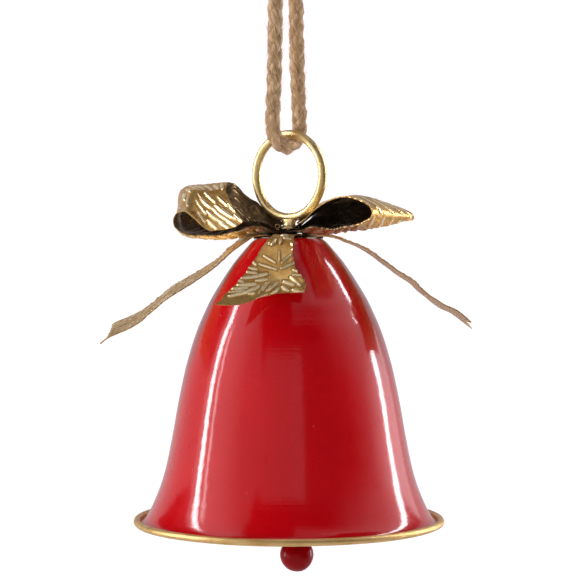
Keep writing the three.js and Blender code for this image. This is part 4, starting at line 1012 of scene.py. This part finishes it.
# hexagon nut with chamfered corners
seg = 144
a = np.arange(seg) / seg * 2 * np.pi
hexr = 2.6 / np.cos((a + np.pi / 6) % (np.pi / 3) - np.pi / 6)
levels = [(97.72, 2.55), (97.95, 2.95), (98.2, 9.0), (99.0, 9.0), (99.26, 2.95), (99.48, 2.55)]
rows_ = [np.stack([np.minimum(hexr, cap) * np.cos(a), np.minimum(hexr, cap) * np.sin(a), np.full(seg, z)], 1) for z, cap in levels]
rows_ += [np.stack([r * np.cos(a), r * np.sin(a), np.full(seg, z)], 1) for r, z in ((1.95, 99.48), (1.62, 99.2), (1.62, 98.0), (1.95, 97.72))]
v = np.vstack(rows_)
f = [grid_faces(len(rows_), seg, wrap_rows=True, wrap_cols=True)]
nut = finish_piece("hexagon_crown_nut", v, outward(v, f), MAT_STEEL, "bell", ["crown_nut"], smooth=False)

# the link: a closed oval of wire hanging in the bolt's eye, its joint butted shut on one side
LINK_TOP, LINK_LOW, LINK_HALF = 90.2, 85.2, 2.3
top_arc = [[EYE_X, LINK_HALF * math.cos(t), LINK_TOP + LINK_HALF * math.sin(t)] for t in np.linspace(0, np.pi, 33)]
left_leg = [[EYE_X, -LINK_HALF, z] for z in np.linspace(LINK_TOP, LINK_LOW, 21)[1:-1]]
low_arc = [[EYE_X, LINK_HALF * math.cos(t), LINK_LOW + LINK_HALF * math.sin(t)] for t in np.linspace(np.pi, 2 * np.pi, 33)]
right_leg = [[EYE_X, LINK_HALF, z] for z in np.linspace(LINK_LOW, LINK_TOP, 21)[1:-1]]
link_line = np.array(top_arc + left_leg + low_arc + right_leg)
link_z, link_y = link_line[:, 2], link_line[:, 1]
seam = (np.abs(link_z - 87.7) < 0.15) & (link_y > 0)
v, f = tube("", link_line, np.where(seam, 0.70, 0.78), 24, closed=True)
link = finish_piece("clapper_chain_link", v, outward(v, f), MAT_STEEL, "link", ["clapper_link"])

ROD_EYE_Z, ROD_EYE_R, ROD_WIRE = 82.2, 3.0, 0.8
eye = [[EYE_X + ROD_EYE_R * math.sin(t), 0, ROD_EYE_Z - ROD_EYE_R * math.cos(t)] for t in np.linspace(-5.95, -0.06, 110)]
down = [[EYE_X, 0, z] for z in np.linspace(ROD_EYE_Z - ROD_EYE_R - 0.5, -9.7, 120)]
rod_line, rq = resample(np.array(eye + down), 0.4)
v, f = tube("", rod_line, 0.78, 22, radial=lambda i, th: 0.012 * np.sin(i * 0.37) * np.cos(2 * th))
rod = finish_piece("clapper_wire_rod", v, outward(v, f), MAT_STEEL, "clapper", ["clapper_rod"])

# the clapper: a dipped ball, thicker paint low down, a collar of paint where the rod enters
nl, nm = 110, 160
BALL_Z, BALL_R = -11.4, 6.0
phi = np.linspace(0.20, np.pi - 0.0, nl)
th = np.arange(nm) / nm * 2 * np.pi
P, T = np.meshgrid(phi, th, indexing="ij")
lump = 0.05 * np.sin(2 * T + 3 * np.cos(P)) * np.sin(P) + 0.035 * np.sin(3 * T - 1.1) * np.sin(P) ** 2
x_, y_, z_ = np.sin(P) * np.cos(T), np.sin(P) * np.sin(T), np.cos(P)
lump += 0.03 * noise2(x_ * 2.6 + 9, z_ * 2.6 + y_ * 1.7 + 9, 4)
r_pit = np.random.default_rng(12)
for _ in range(46):
    d_ = r_pit.normal(size=3)
    d_ /= np.linalg.norm(d_)
    ang_ = np.arccos(np.clip(x_ * d_[0] + y_ * d_[1] + z_ * d_[2], -1, 1))
    lump += r_pit.choice([-0.055, 0.04]) * np.exp(-(ang_ / r_pit.uniform(0.045, 0.09)) ** 2)
lump += 0.16 * np.exp(-((P - 0.26) / 0.07) ** 2)
lump *= np.clip(np.sin(P) * 8, 0, 1)
rad_ = BALL_R - 0.02 + lump
v = np.stack([EYE_X + rad_ * x_, rad_ * y_, BALL_Z + rad_ * z_], -1).reshape(-1, 3)
tip = len(v) - nm
v[tip:] = v[tip:].mean(0)
v = np.vstack([v[:tip], [[EYE_X, 0, BALL_Z - BALL_R + 0.02]]])
inner_lip = np.stack([EYE_X + 0.82 * np.cos(th), 0.82 * np.sin(th), np.full(nm, BALL_Z + 5.75)], 1)
well = np.stack([EYE_X + 0.82 * np.cos(th), 0.82 * np.sin(th), np.full(nm, BALL_Z + 1.0)], 1)
body_ = v[:-1]
v = np.vstack([well, inner_lip, body_, v[-1:], [[EYE_X, 0, BALL_Z + 1.0]]])
rows_n = 2 + nl - 1
f = [grid_faces(rows_n, nm, wrap_cols=True)]
k = np.arange(nm)
last, cap_n = (rows_n - 1) * nm, len(v) - 2
f.append(np.vstack([np.stack([np.full(nm, cap_n), last + (k + 1) % nm, last + k], 1), np.stack([np.full(nm, cap_n + 1), k, (k + 1) % nm], 1)]))
ball = finish_piece("painted_clapper_ball", v, outward(v, f), MAT_BALL, "clapper", ["clapper_ball"])


# ------------------------------------------------------------------ light, floor
world = bpy.data.worlds.new("studio")
bpy.context.scene.world = world
world.use_nodes = True
wt = world.node_tree
bg = wt.nodes["Background"]
tc = wt.nodes.new("ShaderNodeTexCoord")
sep = wt.nodes.new("ShaderNodeSeparateXYZ")
wt.links.new(tc.outputs["Generated"], sep.inputs[0])
DX, DY, DZ = sep.outputs
AZ = mathn(wt, "MULTIPLY", mathn(wt, "ARCTAN2", DX, mathn(wt, "MULTIPLY", DY, -1.0)), 57.29578)
AZ_ABS = mathn(wt, "ABSOLUTE", AZ)
EL = mathn(wt, "MULTIPLY", mathn(wt, "ARCSINE", DZ), 57.29578)


def mul(a, b):
    return mathn(wt, "MULTIPLY", a, b)


def add_(a, b):
    return mathn(wt, "ADD", a, b)


def band(x, lo, hi, soft_lo, soft_hi=None):
    soft_hi = soft_lo if soft_hi is None else soft_hi
    return mul(step01(wt, x, lo - soft_lo, lo + soft_lo), step01(wt, x, hi - soft_hi, hi + soft_hi, 1.0, 0.0))


def patch(az0, az1, el0, el1, value, soft_az=3.0, soft_el=3.0):
    return mul(mul(band(AZ, az0, az1, soft_az), band(EL, el0, el1, soft_el)), value)


def slanted(az0, az1, el0, el1, value, lean, soft=2.0):
    """A patch whose sides lean with height, degrees of azimuth for each degree of elevation."""
    shifted = add_(AZ, mul(EL, lean))
    return mul(mul(band(shifted, az0, az1, soft), band(EL, el0, el1, 1.5)), value)


jitter = noise_tex(wt, tc.outputs["Generated"], 9.0, 3.0, 0.6)
AZ_J = add_(AZ, mul(add_(jitter, -0.5), 5.0))
level = add_(mul(mul(step01(wt, AZ_ABS, 134.0, 142.0), step01(wt, EL, 40.0, 50.0, 1.0, 0.0)), 0.52), 0.012)      # pale backdrop behind, dark room above it
level = add_(level, mul(step01(wt, EL, 70.0, 82.0), 1.1))                           # ceiling lamp overhead
level = add_(level, patch(-29.0, 15.0, -12.0, 31.0, 0.38, 2.5, 1.0))                # pale centre panel
lean_left = add_(AZ, mul(EL, 0.74))
wall = mul(mul(step01(wt, AZ, -102.0, -99.0), step01(wt, AZ, -34.0, -24.0, 1.0, 0.0)), mul(step01(wt, lean_left, -15.0, -8.0, 1.0, 0.0), band(EL, -25.0, 62.0, 5.0)))
level = add_(level, mul(wall, add_(mul(step01(wt, AZ, -72.0, -42.0, 1.0, 0.0), 0.66), 0.48)))      # left window wall, brighter toward its lamp
level = add_(level, patch(-138.0, -100.0, -25.0, 13.0, 0.48, 2.5, 1.0))
lean_right = add_(AZ, mul(EL, 0.8))
high_dark = mul(mul(step01(wt, AZ, 52.5, 55.5), step01(wt, add_(EL, mul(AZ, 0.256)), 65.5, 67.0)), step01(wt, EL, 43.3, 44.7))
open_ = mul(add_(1.0, mul(high_dark, -1.0)), add_(1.0, mul(mul(step01(wt, AZ, 117.5, 120.5), step01(wt, EL, 12.0, 14.0)), -1.0)))
right = mul(mul(step01(wt, lean_right, 64.0, 131.0), band(EL, -25.0, 60.0, 5.0)), mul(step01(wt, AZ, 136.0, 142.0, 1.0, 0.0), 0.95))
upper = mul(mul(step01(wt, AZ, 4.0, 8.0), step01(wt, AZ, 100.0, 110.0, 1.0, 0.0)), mul(step01(wt, EL, 42.0, 51.0), mul(step01(wt, EL, 68.0, 76.0, 1.0, 0.0), 0.34)))
level = add_(level, mul(add_(right, upper), open_))                                # right wall and the panel over it, with a dark beam between
level = add_(level, patch(5.0, 60.0, -25.0, 33.0, 0.055, 3.0, 3.0))
level = add_(level, patch(92.0, 126.0, -25.0, 14.0, 0.36, 8.0, 3.0))
level = add_(level, patch(120.0, 138.0, -25.0, 12.5, 0.46, 3.0, 1.0))
level = add_(level, mul(mul(band(AZ_J, -94.5, -89.5, 1.6), band(EL, -8.0, 40.0, 5.0)), 20.0))      # left strip lamp
level = add_(level, mul(mul(band(AZ_J, -84.5, -82.0, 1.2), band(EL, -4.0, 30.0, 6.0)), 6.0))
level = add_(level, mul(mul(band(AZ_J, 113.0, 118.5, 1.6), band(EL, -8.0, 50.0, 6.0)), 20.0))      # right strip lamp
level = add_(level, patch(-130.0, 130.0, -75.0, -16.0, 0.70, 12.0, 6.0))            # light from below, in front
lp = wt.nodes.new("ShaderNodeLightPath")
seen = wt.nodes.new("ShaderNodeMix")
seen.data_type = "FLOAT"
wt.links.new(lp.outputs["Is Camera Ray"], seen.inputs[0])
wt.links.new(level, seen.inputs[2])
seen.inputs[3].default_value = 1.12
wt.links.new(seen.outputs[0], bg.inputs["Strength"])
bg.inputs["Color"].default_value = (1.0, 0.945, 0.975, 1.0)

# a broad soft fill from low in front
lamp_data = bpy.data.lights.new("low_front_fill", "AREA")
lamp_data.shape = "RECTANGLE"
lamp_data.size, lamp_data.size_y = 0.9, 0.35
lamp_data.energy = 2.0
lamp = bpy.data.objects.new("low_front_fill", lamp_data)
bpy.context.scene.collection.objects.link(lamp)
lamp.location = to_m([160.0, -900.0, -70.0])
lamp.rotation_euler = (math.radians(97.0), 0.0, math.radians(10.0))
lamp.visible_glossy = False
lamp.visible_camera = False

a = np.arange(96) / 96 * 2 * np.pi
floor_v = np.vstack([np.stack([600 * np.cos(a), 600 * np.sin(a), np.full(96, -150.0)], 1), [[0, 0, -150.0]]])
floor = mesh_object("studio_floor", floor_v, [np.stack([np.full(96, 96), np.arange(96), (np.arange(96) + 1) % 96], 1)])
fm, fnt, fp = node_material("floor_paint")
grain = noise_tex(fnt, object_coords(fnt), 14.0, 4.0)
fnt.links.new(ramp(fnt, grain, [(0.3, (0.80, 0.80, 0.80)), (0.7, (0.86, 0.86, 0.86))]), fp.inputs["Base Color"])
fp.inputs["Roughness"].default_value = 0.75
floor.data.materials.append(fm)
